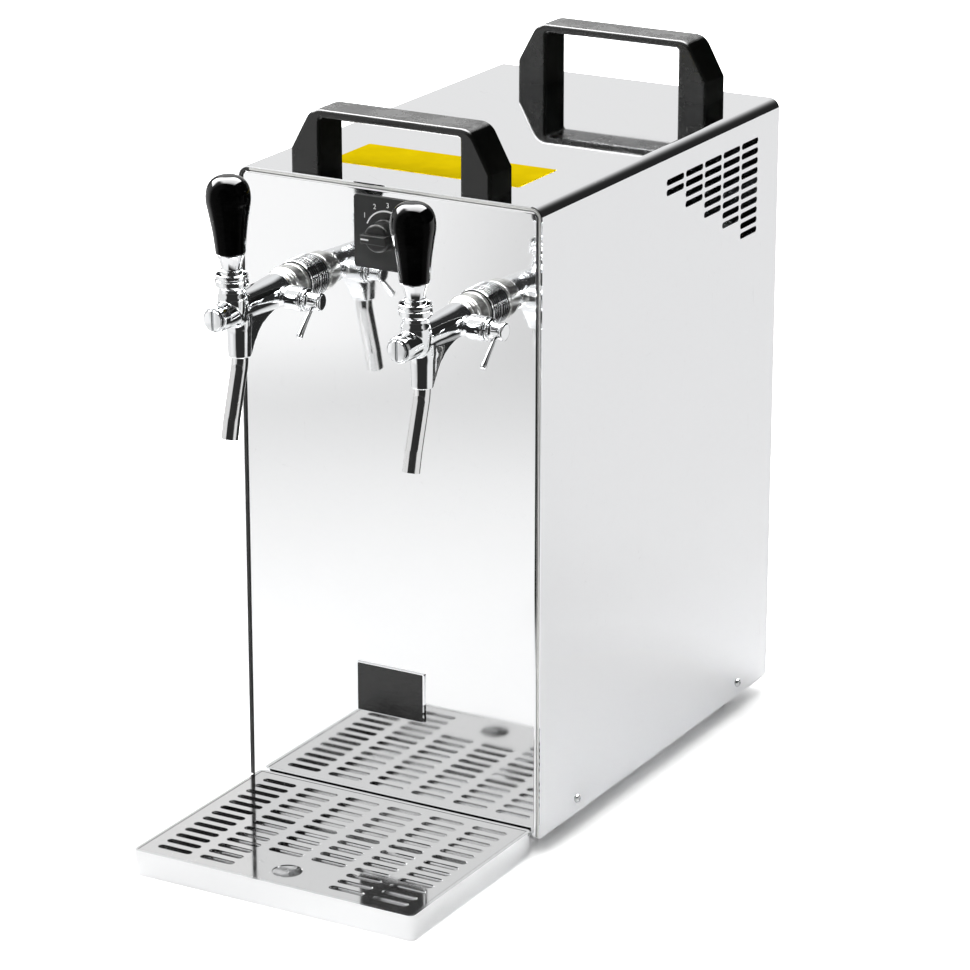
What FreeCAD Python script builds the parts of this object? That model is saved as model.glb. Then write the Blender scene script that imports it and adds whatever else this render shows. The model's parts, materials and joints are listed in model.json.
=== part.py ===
# Two-tap countertop beer cooler in millimetres.
# +Z is up, +X to the right seen from the front, -Y towards the drinker.
# The origin is on the surface that it stands on, under the middle of its box.
import FreeCAD, Part
import math
import os
import re
import Sketcher

V = FreeCAD.Vector
FLIP_FORWARD = FreeCAD.Rotation(V(1, 0, 0), 90)   # a piece's own +Z points at the drinker
AXIS_TURNS = {
    "X": FreeCAD.Rotation(V(0, 1, 0), 90),
    "Y": FreeCAD.Rotation(V(1, 0, 0), -90),
    "Z": FreeCAD.Rotation(),
}

SIZES = {
    "body_width": 264, "body_depth": 398, "body_height": 500, "foot_gap": 13.5,
    "sheet": 1.0, "bend": 9, "panel_bend": 1.8, "panel_flange": 14, "shell_lip": 12, "seal": 2.4,
    "seal_set": 0.2, "seal_round": 1.0,
    "seal_deep": 5.0, "seal_turn": 10, "gap": 0.3, "over": 1.0,
    "vent_start": 198.7, "vent_length": 29.8, "vent_height": 5, "vent_pitch": 32.8, "vent_row": 8.17,
    "vent_top": 474.1, "side_screw_front": 60.8, "side_screw_back": 343.1, "side_screw_rise": 11.4,
    "screw_r": 2.0, "screw_head_r": 3.6, "screw_head": 2.0, "screw_play": 0.2, "screw_reach": 8,
    "base_sheet": 1.5, "base_flange": 22,
    "foot_r": 15, "foot_tip_r": 12.5, "foot_inset": 26, "foot_set": 52, "foot_bore_r": 5.5, "foot_seat": 6,
    "back_reach": 24, "back_screw_rise": 40, "grille_r": 78, "grille_slot": 5, "grille_pitch": 12,
    "fan_rise": 330,
    "handle_width": 173, "handle_opening": 121, "handle_top_width": 138, "handle_shoulder": 18,
    "handle_height": 50, "handle_bar": 6.5, "handle_depth": 34, "handle_round": 2.8, "brow_round": 14,
    "front_handle_set": 3, "rear_handle_set": 347, "front_handle_side": 0, "rear_handle_side": 4.3,
    "handle_screw_r": 2.5, "handle_screw_head_r": 4.4,
    "handle_screw_head": 3,
    "handle_screw_reach": 12, "handle_screw_spread": 20,
    "label_width": 165, "label_depth": 59, "label_set": 45, "label_side": 4.5, "label_thick": 0.4,
    "badge_width": 61, "badge_tall": 40, "badge_thick": 1.5, "badge_rise": 96,
    "dial_plate": 56, "dial_thick": 2, "dial_rise": 463, "dial_corner": 2.5, "dial_shaft_r": 3,
    "dial_neck_r": 4.8,
    "knob_disc_r": 12, "knob_disc": 15.5, "knob_grip_r": 11.3, "knob_grip_width": 7, "knob_reach": 20,
    "thermostat_width": 44, "thermostat_tall": 36, "thermostat_deep": 30, "capillary_r": 1.2, "bulb_r": 4,
    "bulb_long": 90,
    "tray_width": 247, "tray_depth": 181, "tray_height": 20.4, "tray_gap": 2, "tray_corner": 5, "tray_rim": 3,
    "tray_side": 3,
    "grille_thick": 1.0, "grille_play": 0.5, "grille_drop": 0.2,
    "grille_slot_length": 30, "grille_slot_width": 6.6, "grille_column": 38.1, "grille_row": 12.35,
    "finger_r": 11.6, "finger_set": 158.4,
    "tap_spacing": 157, "tap_offset": 3, "tap_rise": 418, "running": 0.08,
    "shank_r": 11, "shank_out": 20, "shank_in": 18, "shank_bore_r": 4, "tail_r": 4, "tail_length": 8,
    "wall_ring_r": 17, "wall_ring_long": 12, "rib_groove": 1.6, "rib_depth": 1.8, "rib_pitch": 3.2,
    "lock_nut_r": 15, "lock_nut_tall": 7,
    "nut_r": 15.5, "nut_end": 28.5, "nut_neck_r": 13.6, "nut_neck_end": 34, "nut_bore_r": 12,
    "spanner_hole_r": 1.6, "spanner_hole_at": 19, "spanner_turn": 33,
    "barrel_r": 13, "barrel_tip_r": 10.6, "barrel_bore_r": 9.3, "seat_at": 68,
    "nose_r": 9.8, "nose_end": 122, "nose_drop": 1.5, "spool_r": 6.2, "spool_front": 110.5, "spool_back": 78,
    "window_front": 6, "window_back": 3,
    "window_drop": 3, "passage_r": 1.6,
    "nose_cap_r": 8, "nose_cap": 3, "nose_slot": 1.6,
    "lever_at": 97.5, "block_r": 10.4, "block_drop": 9, "block_rise": 12, "neck_r": 9.6, "neck_rise": 18,
    "pivot_rise": 26, "bonnet_r": 12, "bonnet_top": 28, "bonnet_mouth_r": 10.8, "ball_r": 8.5,
    "socket_play": 0.1,
    "tail_reach": 24, "lever_tail_r": 1.6, "tail_ball_r": 2.2, "lever_play": 0.4, "lever_lean": 2.5,
    "pour_angle": 22, "foam_angle": 15,
    "ferrule_r": 10.9, "ferrule_foot_r": 7.4, "ferrule_rise": 18.2, "stud_r": 4, "stud_reach": 16,
    "handle_foot_r": 11.2, "handle_ball_r": 16.8, "handle_long": 59,
    "spout_at": 89, "spout_boss_r": 9.3, "spout_boss_drop": 38, "spout_r": 6.5, "spout_bore_r": 5.2,
    "spout_seat": 8, "spout_end_at": 105, "spout_end_drop": 98.5, "spout_knee_drop": 43.5, "spout_bend": 30,
    "web_half": 8.4, "web_start_drop": 8.5, "web_mid_at": 66, "web_mid_drop": 16.5, "web_low_at": 77.5,
    "web_low_rise": 9.5, "web_end_at": 82.5,
    "side_at": 45, "side_drop": 1, "side_boss_r": 9.3, "side_boss_reach": 30.5, "side_shaft_r": 4.9,
    "side_flange_r": 9, "side_flange": 2.4, "side_hub_r": 6.2, "side_hub": 11.5, "side_rod_r": 2,
    "side_rod_ahead": 22.7,
    "side_rod_drop": 22.6, "crank": 3, "crank_pin_r": 1, "cone_r": 8.2, "cone_tip_r": 4, "cone_tip_at": 64,
    "cone_back_at": 53, "tongue_back_at": 38, "tongue_half": 2, "tongue_low": 6, "tongue_high": 5,
    "pin_room_high": 3.8, "shaft_set": 3, "pin_reach": 2.5,
    "tub_width": 180, "tub_wall": 14, "tub_floor": 12, "tub_low": 178, "tub_high": 395, "tub_middle": 100,
    "shelf_width": 150,
    "shelf_sheet": 1.5, "drum_r": 50, "drum_high": 390, "tube_r": 4, "tube_bore_r": 3,
    "evaporator_low": 198, "evaporator_high": 382, "evaporator_turns": 11.5,
    "left_coil_low": 206, "left_coil_high": 278, "right_coil_low": 290, "right_coil_high": 362,
    "coil_turns": 6,
    "riser_back": 66, "riser_front": 58, "riser_bend": 10, "over_tub": 404,
    "compressor_at": 285, "compressor_r": 58, "compressor_tall": 128, "compressor_plate": 150,
    "plate_deep": 104,
    "pot_foot_r": 41, "pot_foot": 14, "seam_rise": 70, "seam_tall": 4, "seam_reach": 2, "pot_shoulder": 24,
    "pot_crown_r": 42, "pot_crown": 6, "stub_set": 14, "grommet_hole_r": 4.8, "grommet_margin": 2,
    "plate_thick": 2.5, "grommet_r": 8, "grommet_tall": 12, "stub_spread": 25, "stub_tall": 14, "stub_r": 5,
    "shroud_width": 190, "shroud_deep": 50, "shroud_wall": 1.5, "shroud_mouth_r": 80, "arm_width": 8,
    "arm_thick": 4,
    "motor_r": 30, "motor_long": 28, "motor_set": 4, "motor_shaft_r": 3, "fan_r": 74, "fan_hub_r": 20,
    "fan_long": 11,
    "motor_ring": 4, "blade_root_r": 16, "tube_past": 3, "line_bend": 8, "line_rise": 34, "line_hop": 30,
    "line_aside": 34, "lid_gap": 22, "line_front": 60, "suction_rise": 11, "suction_front": 40,
    "evaporator_set": 14, "inlet_run": 45, "tap_line_drop": 22,
    "fan_blades": 5, "blade_angle": 32, "blade_thick": 1.6, "blade_chord": 16,
    "condenser_width": 176, "condenser_tall": 180, "condenser_deep": 28, "fins": 22, "fin_thick": 0.6,
    "fin_tube_r": 4,
    "fin_tubes": 6, "line_r": 3, "drier_r": 9, "drier_long": 80, "side_gap": 18, "line_out": 12,
    "inlet_x": 60, "inlet_rise": 190, "air_side": 30, "air_rise": 50, "fitting_r": 8.5,
    "fitting_flange_r": 12,
    "fitting_flange": 3, "fitting_in": 14, "fitting_nose_r": 10, "fitting_bore_r": 4.1, "fitting_bore": 18,
    "pump_width": 90, "pump_deep": 55, "pump_tall": 60, "pump_at": 60, "pump_motor_r": 22,
    "pump_motor_long": 50, "pump_motor_rise": 26, "nipple": 9,
    "hose_r": 4, "hose_bore_r": 2.5, "hose_bend": 24, "hose_lead": 75, "hose_past_tub": 26,
    "power_side": 55, "power_rise": 60, "power_width": 50, "power_tall": 30, "power_flange": 3,
    "power_deep": 30,
    "socket_width": 24, "socket_tall": 17, "socket_deep": 16, "plate_margin": 2,
}

# Places worked out from the sizes; "front" is the face of the front panel, "back" the back of the body.
PLACES = {
    "front": "-(body_depth + back_reach - tray_gap - tray_depth) / 2",
    "back": "front + body_depth",
    "low": "foot_gap",
    "top": "foot_gap + body_height",
    "half": "body_width / 2",
    "inner": "half - sheet",
    "fit_half": "inner - gap",
    "panel_half": "inner - seal - gap",
    "panel_top": "top - sheet - seal - gap",
    "wall_in": "back - sheet",
    "base_top": "low + base_sheet",
    "base_front": "front + panel_flange + gap",
    "base_back": "back - 2 * sheet - gap",
    "dial_z": "low + dial_rise",
    "fan_z": "low + fan_rise",
    "leg_x": "(handle_width + handle_opening) / 4",
    "tray_middle": "front - tray_gap - tray_depth / 2",
    "left_tap": "tap_offset - tap_spacing / 2",
    "right_tap": "tap_offset + tap_spacing / 2",
    "tap_z": "low + tap_rise",
    "bore_r": "shank_r + running",
    "spool_bore_r": "spool_r + running",
    "socket_r": "ball_r + socket_play",
    "side_bore_r": "side_shaft_r + running",
    "tub_y": "front + tub_middle",
    "evaporator_r": "drum_r + tube_r + gap",
    "coil_r": "evaporator_r + 2 * tube_r + gap",
    "compressor_y": "front + compressor_at",
    "shroud_front": "wall_in - shroud_deep",
    "condenser_y": "shroud_front - condenser_deep / 2",
    "side_run": "half - side_gap",
    "line_side": "condenser_width / 2 + tube_past + line_out",
    "air_x": "half - air_side",
    "power_x": "half - power_side",
}

doc = FreeCAD.newDocument("beer_cooler")
sheet = doc.addObject("Spreadsheet::Sheet", "Sizes")
for row, (alias, amount) in enumerate(SIZES.items(), 1):
    sheet.set(f"A{row}", str(amount))
    sheet.setAlias(f"A{row}", alias)
doc.recompute()
pieces = []


def link(text):
    """The expression with each size written as the sheet's cell and each place worked out."""
    def swap(match):
        word = match[0]
        if word in SIZES:
            return "Sizes." + word
        return f"({link(PLACES[word])})" if word in PLACES else word
    return re.sub(r"[a-z][a-z_0-9]*", swap, str(text))


def val(text):
    return float(sheet.evalExpression(link(text)))


def tie(obj, **properties):
    for name, text in properties.items():
        obj.setExpression(name.replace("_dot_", "."), link(text))
    return obj


def seat(obj, x="0", y="0", z="0", turn=None):
    if turn is not None:
        obj.Placement = FreeCAD.Placement(V(), turn)
    return tie(obj, Placement_dot_Base_dot_x=x, Placement_dot_Base_dot_y=y, Placement_dot_Base_dot_z=z)


def node(obj, label):
    """Names a finished sub-part; the label is its file's name."""
    obj.Label = label
    pieces.append(obj)
    return obj


# Part primitives and booleans

def block(x, y, z):
    """A box between pairs of places along each axis."""
    obj = doc.addObject("Part::Box", "block")
    tie(obj, Length=f"({x[1]}) - ({x[0]})", Width=f"({y[1]}) - ({y[0]})", Height=f"({z[1]}) - ({z[0]})")
    return seat(obj, x[0], y[0], z[0])


def rod(radius, start, length, along="Z"):
    obj = doc.addObject("Part::Cylinder", "rod")
    tie(obj, Radius=radius, Height=length)
    return seat(obj, *start, turn=AXIS_TURNS[along])


def taper(start_r, end_r, start, length, along="Z"):
    obj = doc.addObject("Part::Cone", "taper")
    tie(obj, Radius1=start_r, Radius2=end_r, Height=length)
    return seat(obj, *start, turn=AXIS_TURNS[along])


def ball(radius, x, y, z):
    return seat(tie(doc.addObject("Part::Sphere", "ball"), Radius=radius), x, y, z)


def join(parts):
    obj = doc.addObject("Part::MultiFuse", "join")
    obj.Shapes = parts
    return obj


def cut(base, tools):
    obj = doc.addObject("Part::Cut", "cut")
    obj.Base = base
    obj.Tool = tools[0] if len(tools) == 1 else join(tools)
    return obj


def group(parts):
    obj = doc.addObject("Part::Compound", "group")
    obj.Links = parts
    return obj


def solid(shape):
    """A shape that Part's own functions made, as an object."""
    obj = doc.addObject("Part::Feature", "solid")
    obj.Shape = shape
    return obj


# Part design bodies

def new_body():
    return doc.addObject("PartDesign::Body", "body")


def new_sketch(body, plane, offset="0"):
    sketch = body.newObject("Sketcher::SketchObject", "sketch")
    origin_plane = next(f for f in body.Origin.OriginFeatures if f.Role == plane + "_Plane")
    sketch.AttachmentSupport = [(origin_plane, "")]
    sketch.MapMode = "FlatFace"
    sketch.setExpression("AttachmentOffset.Base.z", link(offset))
    return sketch


def hold(sketch, kind, where, text, amount):
    """A dimension of the sketch, tied to an expression; a point at nought lies on the axis."""
    if kind in ("DistanceX", "DistanceY") and abs(amount) < 1e-9:
        sketch.addConstraint(Sketcher.Constraint("PointOnObject", *where[-2:],
                                                 -2 if kind == "DistanceX" else -1))
        return
    index = sketch.addConstraint(Sketcher.Constraint(kind, *where, amount))
    sketch.setExpression(f"Constraints[{index}]", link(text))


def outline(sketch, points):
    """A closed polygon whose corners are tied to expressions."""
    places = [(val(a), val(b)) for a, b in points]
    first, count = sketch.GeometryCount, len(points)
    for k in range(count):
        sketch.addGeometry(Part.LineSegment(V(*places[k], 0), V(*places[(k + 1) % count], 0)), False)
    for k in range(count):
        sketch.addConstraint(Sketcher.Constraint("Coincident", first + k, 2, first + (k + 1) % count, 1))
    for k, (a, b) in enumerate(points):
        hold(sketch, "DistanceX", (-1, 1, first + k, 1), a, places[k][0])
        hold(sketch, "DistanceY", (-1, 1, first + k, 1), b, places[k][1])


def rectangle(sketch, x, y):
    outline(sketch, [(x[0], y[0]), (x[1], y[0]), (x[1], y[1]), (x[0], y[1])])


def soft_rectangle(sketch, x, y, radius):
    """A rectangle with round corners."""
    left, right, low, high, r = val(x[0]), val(x[1]), val(y[0]), val(y[1]), val(radius)
    first, quarter = sketch.GeometryCount, math.pi / 2
    centres = [(right - r, low + r), (right - r, high - r), (left + r, high - r), (left + r, low + r)]
    sides = [((left + r, low), (right - r, low)), ((right, low + r), (right, high - r)),
             ((right - r, high), (left + r, high)), ((left, high - r), (left, low + r))]
    for k, (a, b) in enumerate(sides):
        arc = Part.ArcOfCircle(Part.Circle(V(*centres[k], 0), V(0, 0, 1), r), (k - 1) * quarter, k * quarter)
        sketch.addGeometry([Part.LineSegment(V(*a, 0), V(*b, 0)), arc], False)
    for k in range(4):
        line, arc, after = first + 2 * k, first + 2 * k + 1, first + (2 * k + 2) % 8
        sketch.addConstraint(Sketcher.Constraint("Tangent", line, 2, arc, 1))
        sketch.addConstraint(Sketcher.Constraint("Tangent", arc, 2, after, 1))
        if k:
            sketch.addConstraint(Sketcher.Constraint("Equal", first + 1, arc))
    sketch.addConstraint(Sketcher.Constraint("Horizontal", first))
    sketch.addConstraint(Sketcher.Constraint("Vertical", first + 2))
    hold(sketch, "Radius", (first + 1,), radius, r)
    hold(sketch, "DistanceX", (-1, 1, first + 2, 1), x[1], right)
    hold(sketch, "DistanceX", (-1, 1, first + 6, 1), x[0], left)
    hold(sketch, "DistanceY", (-1, 1, first, 1), y[0], low)
    hold(sketch, "DistanceY", (-1, 1, first + 4, 1), y[1], high)


def circle(sketch, radius, x, y):
    index = sketch.addGeometry(Part.Circle(V(val(x), val(y), 0), V(0, 0, 1), val(radius)), False)
    hold(sketch, "Radius", (index,), radius, val(radius))
    hold(sketch, "DistanceX", (-1, 1, index, 3), x, val(x))
    hold(sketch, "DistanceY", (-1, 1, index, 3), y, val(y))


def slot(sketch, length, width, x, y):
    """A round-ended slot along the sketch's X, centred on a place."""
    r, reach, x_mid, y_mid = val(width) / 2, (val(length) - val(width)) / 2, val(x), val(y)
    first = sketch.GeometryCount
    right, left = V(x_mid + reach, y_mid, 0), V(x_mid - reach, y_mid, 0)
    up, quarter = V(0, r, 0), math.pi / 2
    sketch.addGeometry([
        Part.LineSegment(left + up, right + up),
        Part.ArcOfCircle(Part.Circle(right, V(0, 0, 1), r), -quarter, quarter),
        Part.LineSegment(right - up, left - up),
        Part.ArcOfCircle(Part.Circle(left, V(0, 0, 1), r), quarter, 3 * quarter)], False)
    for a, a_end, b, b_end in ((0, 2, 1, 2), (1, 1, 2, 1), (2, 2, 3, 2), (3, 1, 0, 1)):
        sketch.addConstraint(Sketcher.Constraint("Tangent", first + a, a_end, first + b, b_end))
    sketch.addConstraint(Sketcher.Constraint("Horizontal", first))
    sketch.addConstraint(Sketcher.Constraint("Equal", first + 1, first + 3))
    hold(sketch, "Radius", (first + 1,), f"({width}) / 2", r)
    hold(sketch, "DistanceX", (-1, 1, first + 1, 3), f"({x}) + (({length}) - ({width})) / 2", right.x)
    hold(sketch, "DistanceX", (-1, 1, first + 3, 3), f"({x}) - (({length}) - ({width})) / 2", left.x)
    hold(sketch, "DistanceY", (-1, 1, first + 1, 3), y, y_mid)


def circles(sketch, radius, spots):
    for x, y in spots:
        circle(sketch, radius, x, y)


def settle(feature):
    """Works the feature out now, and stops where it can't be made."""
    doc.recompute()
    if {"Invalid", "Error"} & set(feature.State):
        raise ValueError(f"{feature.Name} can't be made: {feature.getStatusString()}")
    return feature


def slab(body, plane, draw, low, high):
    """Material between two places along the plane's axis; draw fills in the sketch."""
    sketch = new_sketch(body, plane, f"-({high})" if plane == "XZ" else low)
    draw(sketch)
    pad = body.newObject("PartDesign::Pad", "pad")
    pad.Profile = sketch
    return settle(tie(pad, Length=f"({high}) - ({low})"))


def carve(body, plane, draw, low, high):
    """Takes away what is between two places along the plane's axis, and makes sure that it did."""
    before = body.Shape.Volume
    sketch = new_sketch(body, plane, f"-({low})" if plane == "XZ" else high)
    draw(sketch)
    pocket = body.newObject("PartDesign::Pocket", "pocket")
    pocket.Profile = sketch
    settle(tie(pocket, Length=f"({high}) - ({low})"))
    if body.Shape.Volume >= before:
        raise ValueError(f"a cut of {body.Label} takes nothing away")
    return pocket


def repeat(body, feature, direction, length, count, reverse=False):
    """Copies the feature along its sketch's axis."""
    pattern = body.newObject("PartDesign::LinearPattern", "pattern")
    pattern.Originals = [feature]
    pattern.Direction = (feature.Profile[0], [direction])
    pattern.Reversed = reverse
    tie(pattern, Length=length)
    pattern.Occurrences = count
    body.Tip = pattern
    return settle(pattern)


def soften(body, radius, pick):
    """Rounds the edges that pick chooses."""
    tip = body.Tip
    names = [f"Edge{n}" for n, edge in enumerate(tip.Shape.Edges, 1) if pick(edge)]
    fillet = body.newObject("PartDesign::Fillet", "fillet")
    fillet.Base = (tip, names)
    return settle(tie(fillet, Radius=radius))


def near(a, b):
    return abs(a - b) < 0.01


def along(edge, axis):
    """Whether an edge is straight and runs along X, Y or Z."""
    if edge.Curve.TypeId != "Part::GeomLine":
        return False
    direction = edge.Curve.Direction
    return abs(abs({"X": direction.x, "Y": direction.y, "Z": direction.z}[axis]) - 1) < 1e-6


def at_y(edge, y):
    box = edge.BoundBox
    return near(box.YMin, y) and near(box.YMax, y)


def lathe(points, draw_holes=()):
    """A turned piece about its own Z from an outline of radius and height."""
    body = new_body()
    sketch = new_sketch(body, "XZ")
    outline(sketch, points)
    turned = body.newObject("PartDesign::Revolution", "turned")
    turned.Profile = sketch
    turned.ReferenceAxis = (sketch, ["V_Axis"])
    turned.Angle = 360
    settle(turned)
    for plane, draw, reach in draw_holes:
        carve(body, plane, draw, f"-({reach})", reach)
    return body


# Tubes

def rounded(points, bend):
    """Edges of straight runs joined by tangent arcs, through corner points."""
    edges, start = [], points[0]
    for before, corner, after in zip(points, points[1:], points[2:]):
        back, ahead = (before - corner).normalize(), (after - corner).normalize()
        half_turn = (math.pi - back.getAngle(ahead)) / 2
        if half_turn < 1e-4:
            continue
        reach = bend * math.tan(half_turn)
        middle = corner + (back + ahead).normalize() * bend * (1 / math.cos(half_turn) - 1)
        first, last = corner + back * reach, corner + ahead * reach
        edges += [Part.LineSegment(start, first).toShape(), Part.Arc(first, middle, last).toShape()]
        start = last
    return edges + [Part.LineSegment(start, points[-1]).toShape()]


def coil_edges(centre, radius, low_z, high_z, turns, mirror=1):
    """A helix as tangent arcs, clockwise from above, starting at the side that mirror gives."""
    steps = round(turns * 4)

    def spot(k):
        angle = -2 * math.pi * turns * k / steps
        return V(centre.x + mirror * radius * math.cos(angle), centre.y + radius * math.sin(angle),
                 low_z + (high_z - low_z) * k / steps)

    def heading(k):
        angle = -2 * math.pi * turns * k / steps
        climb = (high_z - low_z) / (2 * math.pi * radius * turns)
        return V(mirror * math.sin(angle), -math.cos(angle), climb).normalize()

    edges = []
    for k in range(steps):
        p, q, s, t = spot(k), spot(k + 1), heading(k), heading(k + 1)
        gap, both = q - p, s + t
        a, b, c = 2 - 2 * s.dot(t), 2 * gap.dot(both), -gap.dot(gap)
        reach = (math.sqrt(b * b - 4 * a * c) - b) / (2 * a)
        knees = (p + s * reach, q - t * reach)
        join_spot = (knees[0] + knees[1]) / 2
        for start, knee, end in ((p, knees[0], join_spot), (join_spot, knees[1], q)):
            chord = (start + end) / 2
            lean = (knee - chord).normalize()
            half = (end - start).Length / 2
            bow = half * math.tan((knee - start).getAngle(end - start) / 2)
            edges.append(Part.Arc(start, chord + lean * bow, end).toShape())
    return edges, (spot(0), heading(0)), (spot(steps), heading(steps))


def pipe(edges, radius, bore=0):
    """A tube along a chain of edges."""
    wire = Part.Wire(edges)
    first = wire.Edges[0]
    start, direction = first.valueAt(first.FirstParameter), first.tangentAt(first.FirstParameter)

    def sweep(r):
        ring = Part.Wire([Part.Circle(start, direction, r).toShape()])
        shell = Part.BRepOffsetAPI.MakePipeShell(wire)
        shell.add(ring)
        shell.build()
        shell.makeSolid()
        return shell.shape()

    tube = sweep(radius)
    if bore:
        tube = tube.cut(sweep(bore))
    expected = math.pi * (radius ** 2 - bore ** 2) * wire.Length
    if abs(tube.Volume / expected - 1) > 0.02:
        raise ValueError("a tube's volume is not its section times its length")
    return tube


def points(*places):
    return [V(val(x), val(y), val(z)) for x, y, z in places]


# The housing

def side_screw_spots():
    return [("front + side_screw_front", "low + side_screw_rise"),
            ("front + side_screw_back", "low + side_screw_rise")]


def outer_shell():
    body = new_body()
    inside = (("-(inner)", "inner"), ("low - over - bend", "top - sheet"), "bend - sheet")
    slab(body, "XZ", lambda s: rectangle(s, ("-half", "half"), ("low", "top")), "front", "back")
    soften(body, "bend", lambda e: along(e, "Y") and near(e.CenterOfMass.z, val("top")))
    carve(body, "XZ", lambda s: soft_rectangle(s, *inside), "front - over", "back - 2 * sheet")
    carve(body, "XZ", lambda s: soft_rectangle(s, *inside), "wall_in", "back + over")
    carve(body, "XZ", lambda s: rectangle(s, ("shell_lip - half", "half - shell_lip"),
                                          ("low - over", "top - shell_lip")), "back - 2 * sheet - over",
                                          "back")
    carve(body, "YZ", lambda s: circles(s, "screw_r + screw_play", side_screw_spots()), "-half - over",
          "half + over")
    carve(body, "XY", lambda s: circles(s, "handle_screw_r + screw_play", handle_screw_spots()),
          "top - sheet - over", "top + over")
    carve(body, "XZ", lambda s: circles(s, "screw_r + screw_play", back_screw_spots()),
          "back - 2 * sheet - over", "back + over")
    for column in range(5):
        y = f"front + vent_start + vent_length / 2 + {column} * vent_pitch"
        first = carve(body, "YZ", lambda s: slot(s, "vent_length", "vent_height", y, "low + vent_top"),
                      "-half - over", "half + over")
        rows = 2 * (column + 1)
        repeat(body, first, "V_Axis", f"{rows - 1} * vent_row", rows, reverse=True)
    node(body, "outer_shell")


def front_panel():
    """A pressed pan: its rim turns back on all four sides."""
    body = new_body()
    slab(body, "XZ", lambda s: rectangle(s, ("-(panel_half)", "panel_half"), ("low", "panel_top")),
         "front", "front + panel_flange")
    soften(body, "bend - sheet - seal - gap", lambda e: along(e, "Y") and e.CenterOfMass.z > val("tap_z"))
    carve(body, "XZ", lambda s: soft_rectangle(s, ("sheet - (panel_half)", "panel_half - sheet"),
                                               ("low + sheet", "panel_top - sheet"),
                                               "bend - 2 * sheet - seal - gap"),
          "front + sheet", "front + panel_flange + over")
    soften(body, "panel_bend - sheet", lambda e: at_y(e, val("front + sheet")))
    soften(body, "panel_bend", lambda e: at_y(e, val("front")))
    carve(body, "XZ", lambda s: circles(s, "shank_r + gap", [("left_tap", "tap_z"), ("right_tap", "tap_z")]),
          "front - over", "front + sheet + over")
    carve(body, "XZ", lambda s: circle(s, "dial_neck_r + screw_play", "0", "dial_z"),
          "front - over", "front + sheet + over")
    under = [(x, y) for x, y in handle_screw_spots() if val(y) < val("front + panel_flange")]
    carve(body, "XY", lambda s: circles(s, "handle_screw_head_r + gap", under), "top - 6 * sheet", "top")
    node(body, "front_panel")


def edge_strip(label, away):
    """A thin strip in the groove between the panel's bend and the shell, but for what lies within away."""
    body = new_body()
    inside = (("-(inner)", "inner"), ("low - bend", "top - sheet"), "bend - sheet")
    within = (("seal - (inner)", "inner - seal"), ("low - bend", "top - sheet - seal"), "bend - sheet - seal")
    strip = ("front + seal_set", "front + seal_set + seal_deep")
    slab(body, "XZ", lambda s: soft_rectangle(s, *inside), *strip)
    carve(body, "XZ", lambda s: soft_rectangle(s, *within), strip[0] + " - over", strip[1] + " + over")
    carve(body, "XY", lambda s: rectangle(s, ("-half", "half"), ("front", "back")), "-bend", "low")
    soften(body, "seal_round", lambda e: at_y(e, val("front + seal_set")))
    carve(body, "XY", lambda s: rectangle(s, away, ("front", "back")), "low - over", "top + over")
    node(body, label)


def edge_strips():
    edge_strip("edge_seal", ("seal_turn - half", "half"))
    edge_strip("edge_trim", ("-half", "seal_turn - half"))


def back_screw_spots():
    edge = "half - shell_lip / 2"
    heights = ("low + back_screw_rise", "low + body_height / 2", "top - back_screw_rise")
    sides = [(f"{sign}({edge})", z) for sign in ("-", "") for z in heights]
    return sides + [("-half / 2", "top - shell_lip / 2"), ("half / 2", "top - shell_lip / 2")]


def fitting_spots():
    return [("-inlet_x", "low + inlet_rise"), ("inlet_x", "low + inlet_rise"), ("air_x", "low + air_rise")]


def back_panel():
    body = new_body()
    wall = ("wall_in - over", "back + over")
    slab(body, "XZ", lambda s: rectangle(s, ("-(fit_half)", "fit_half"), ("low", "top - sheet - gap")),
         "wall_in", "back")
    soften(body, "bend", lambda e: along(e, "Y") and e.CenterOfMass.z > val("fan_z"))
    room = "plate_margin - gap"
    carve(body, "XZ", lambda s: rectangle(s, (f"-power_x - power_width / 2 + {room}",
                                              f"-power_x + power_width / 2 - ({room})"),
                                          (f"low + power_rise - power_tall / 2 + {room}",
                                           f"low + power_rise + power_tall / 2 - ({room})")), *wall)
    carve(body, "XZ", lambda s: circles(s, "fitting_r + screw_play", fitting_spots()), *wall)
    carve(body, "XZ", lambda s: circles(s, "screw_r + screw_play", back_screw_spots()), *wall)
    rows = int(val("grille_r / grille_pitch"))
    for k in range(-rows, rows + 1):
        length = f"2 * sqrt(grille_r ^ 2 - ({k} * grille_pitch) ^ 2)"
        carve(body, "XZ", lambda s: slot(s, length, "grille_slot", "0", f"fan_z + {k} * grille_pitch"), *wall)
    node(body, "back_panel")


def foot_spots():
    return [(f"{sign}(half - foot_inset)", y) for sign in ("-", "")
            for y in ("front + foot_set", "back - foot_set")]


def base_plate():
    body = new_body()
    slab(body, "XY", lambda s: rectangle(s, ("-(fit_half)", "fit_half"), ("base_front", "base_back")),
         "low", "low + base_flange")
    carve(body, "XY", lambda s: rectangle(s, ("base_sheet - fit_half", "fit_half - base_sheet"),
                                          ("base_front + base_sheet", "base_back - base_sheet")),
          "base_top", "low + base_flange + over")
    carve(body, "XY", lambda s: circles(s, "screw_r + screw_play", foot_spots()), "low - over",
          "base_top + over")
    carve(body, "YZ", lambda s: circles(s, "screw_r + running", side_screw_spots()), "-half", "half")
    node(body, "base_plate")


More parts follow.
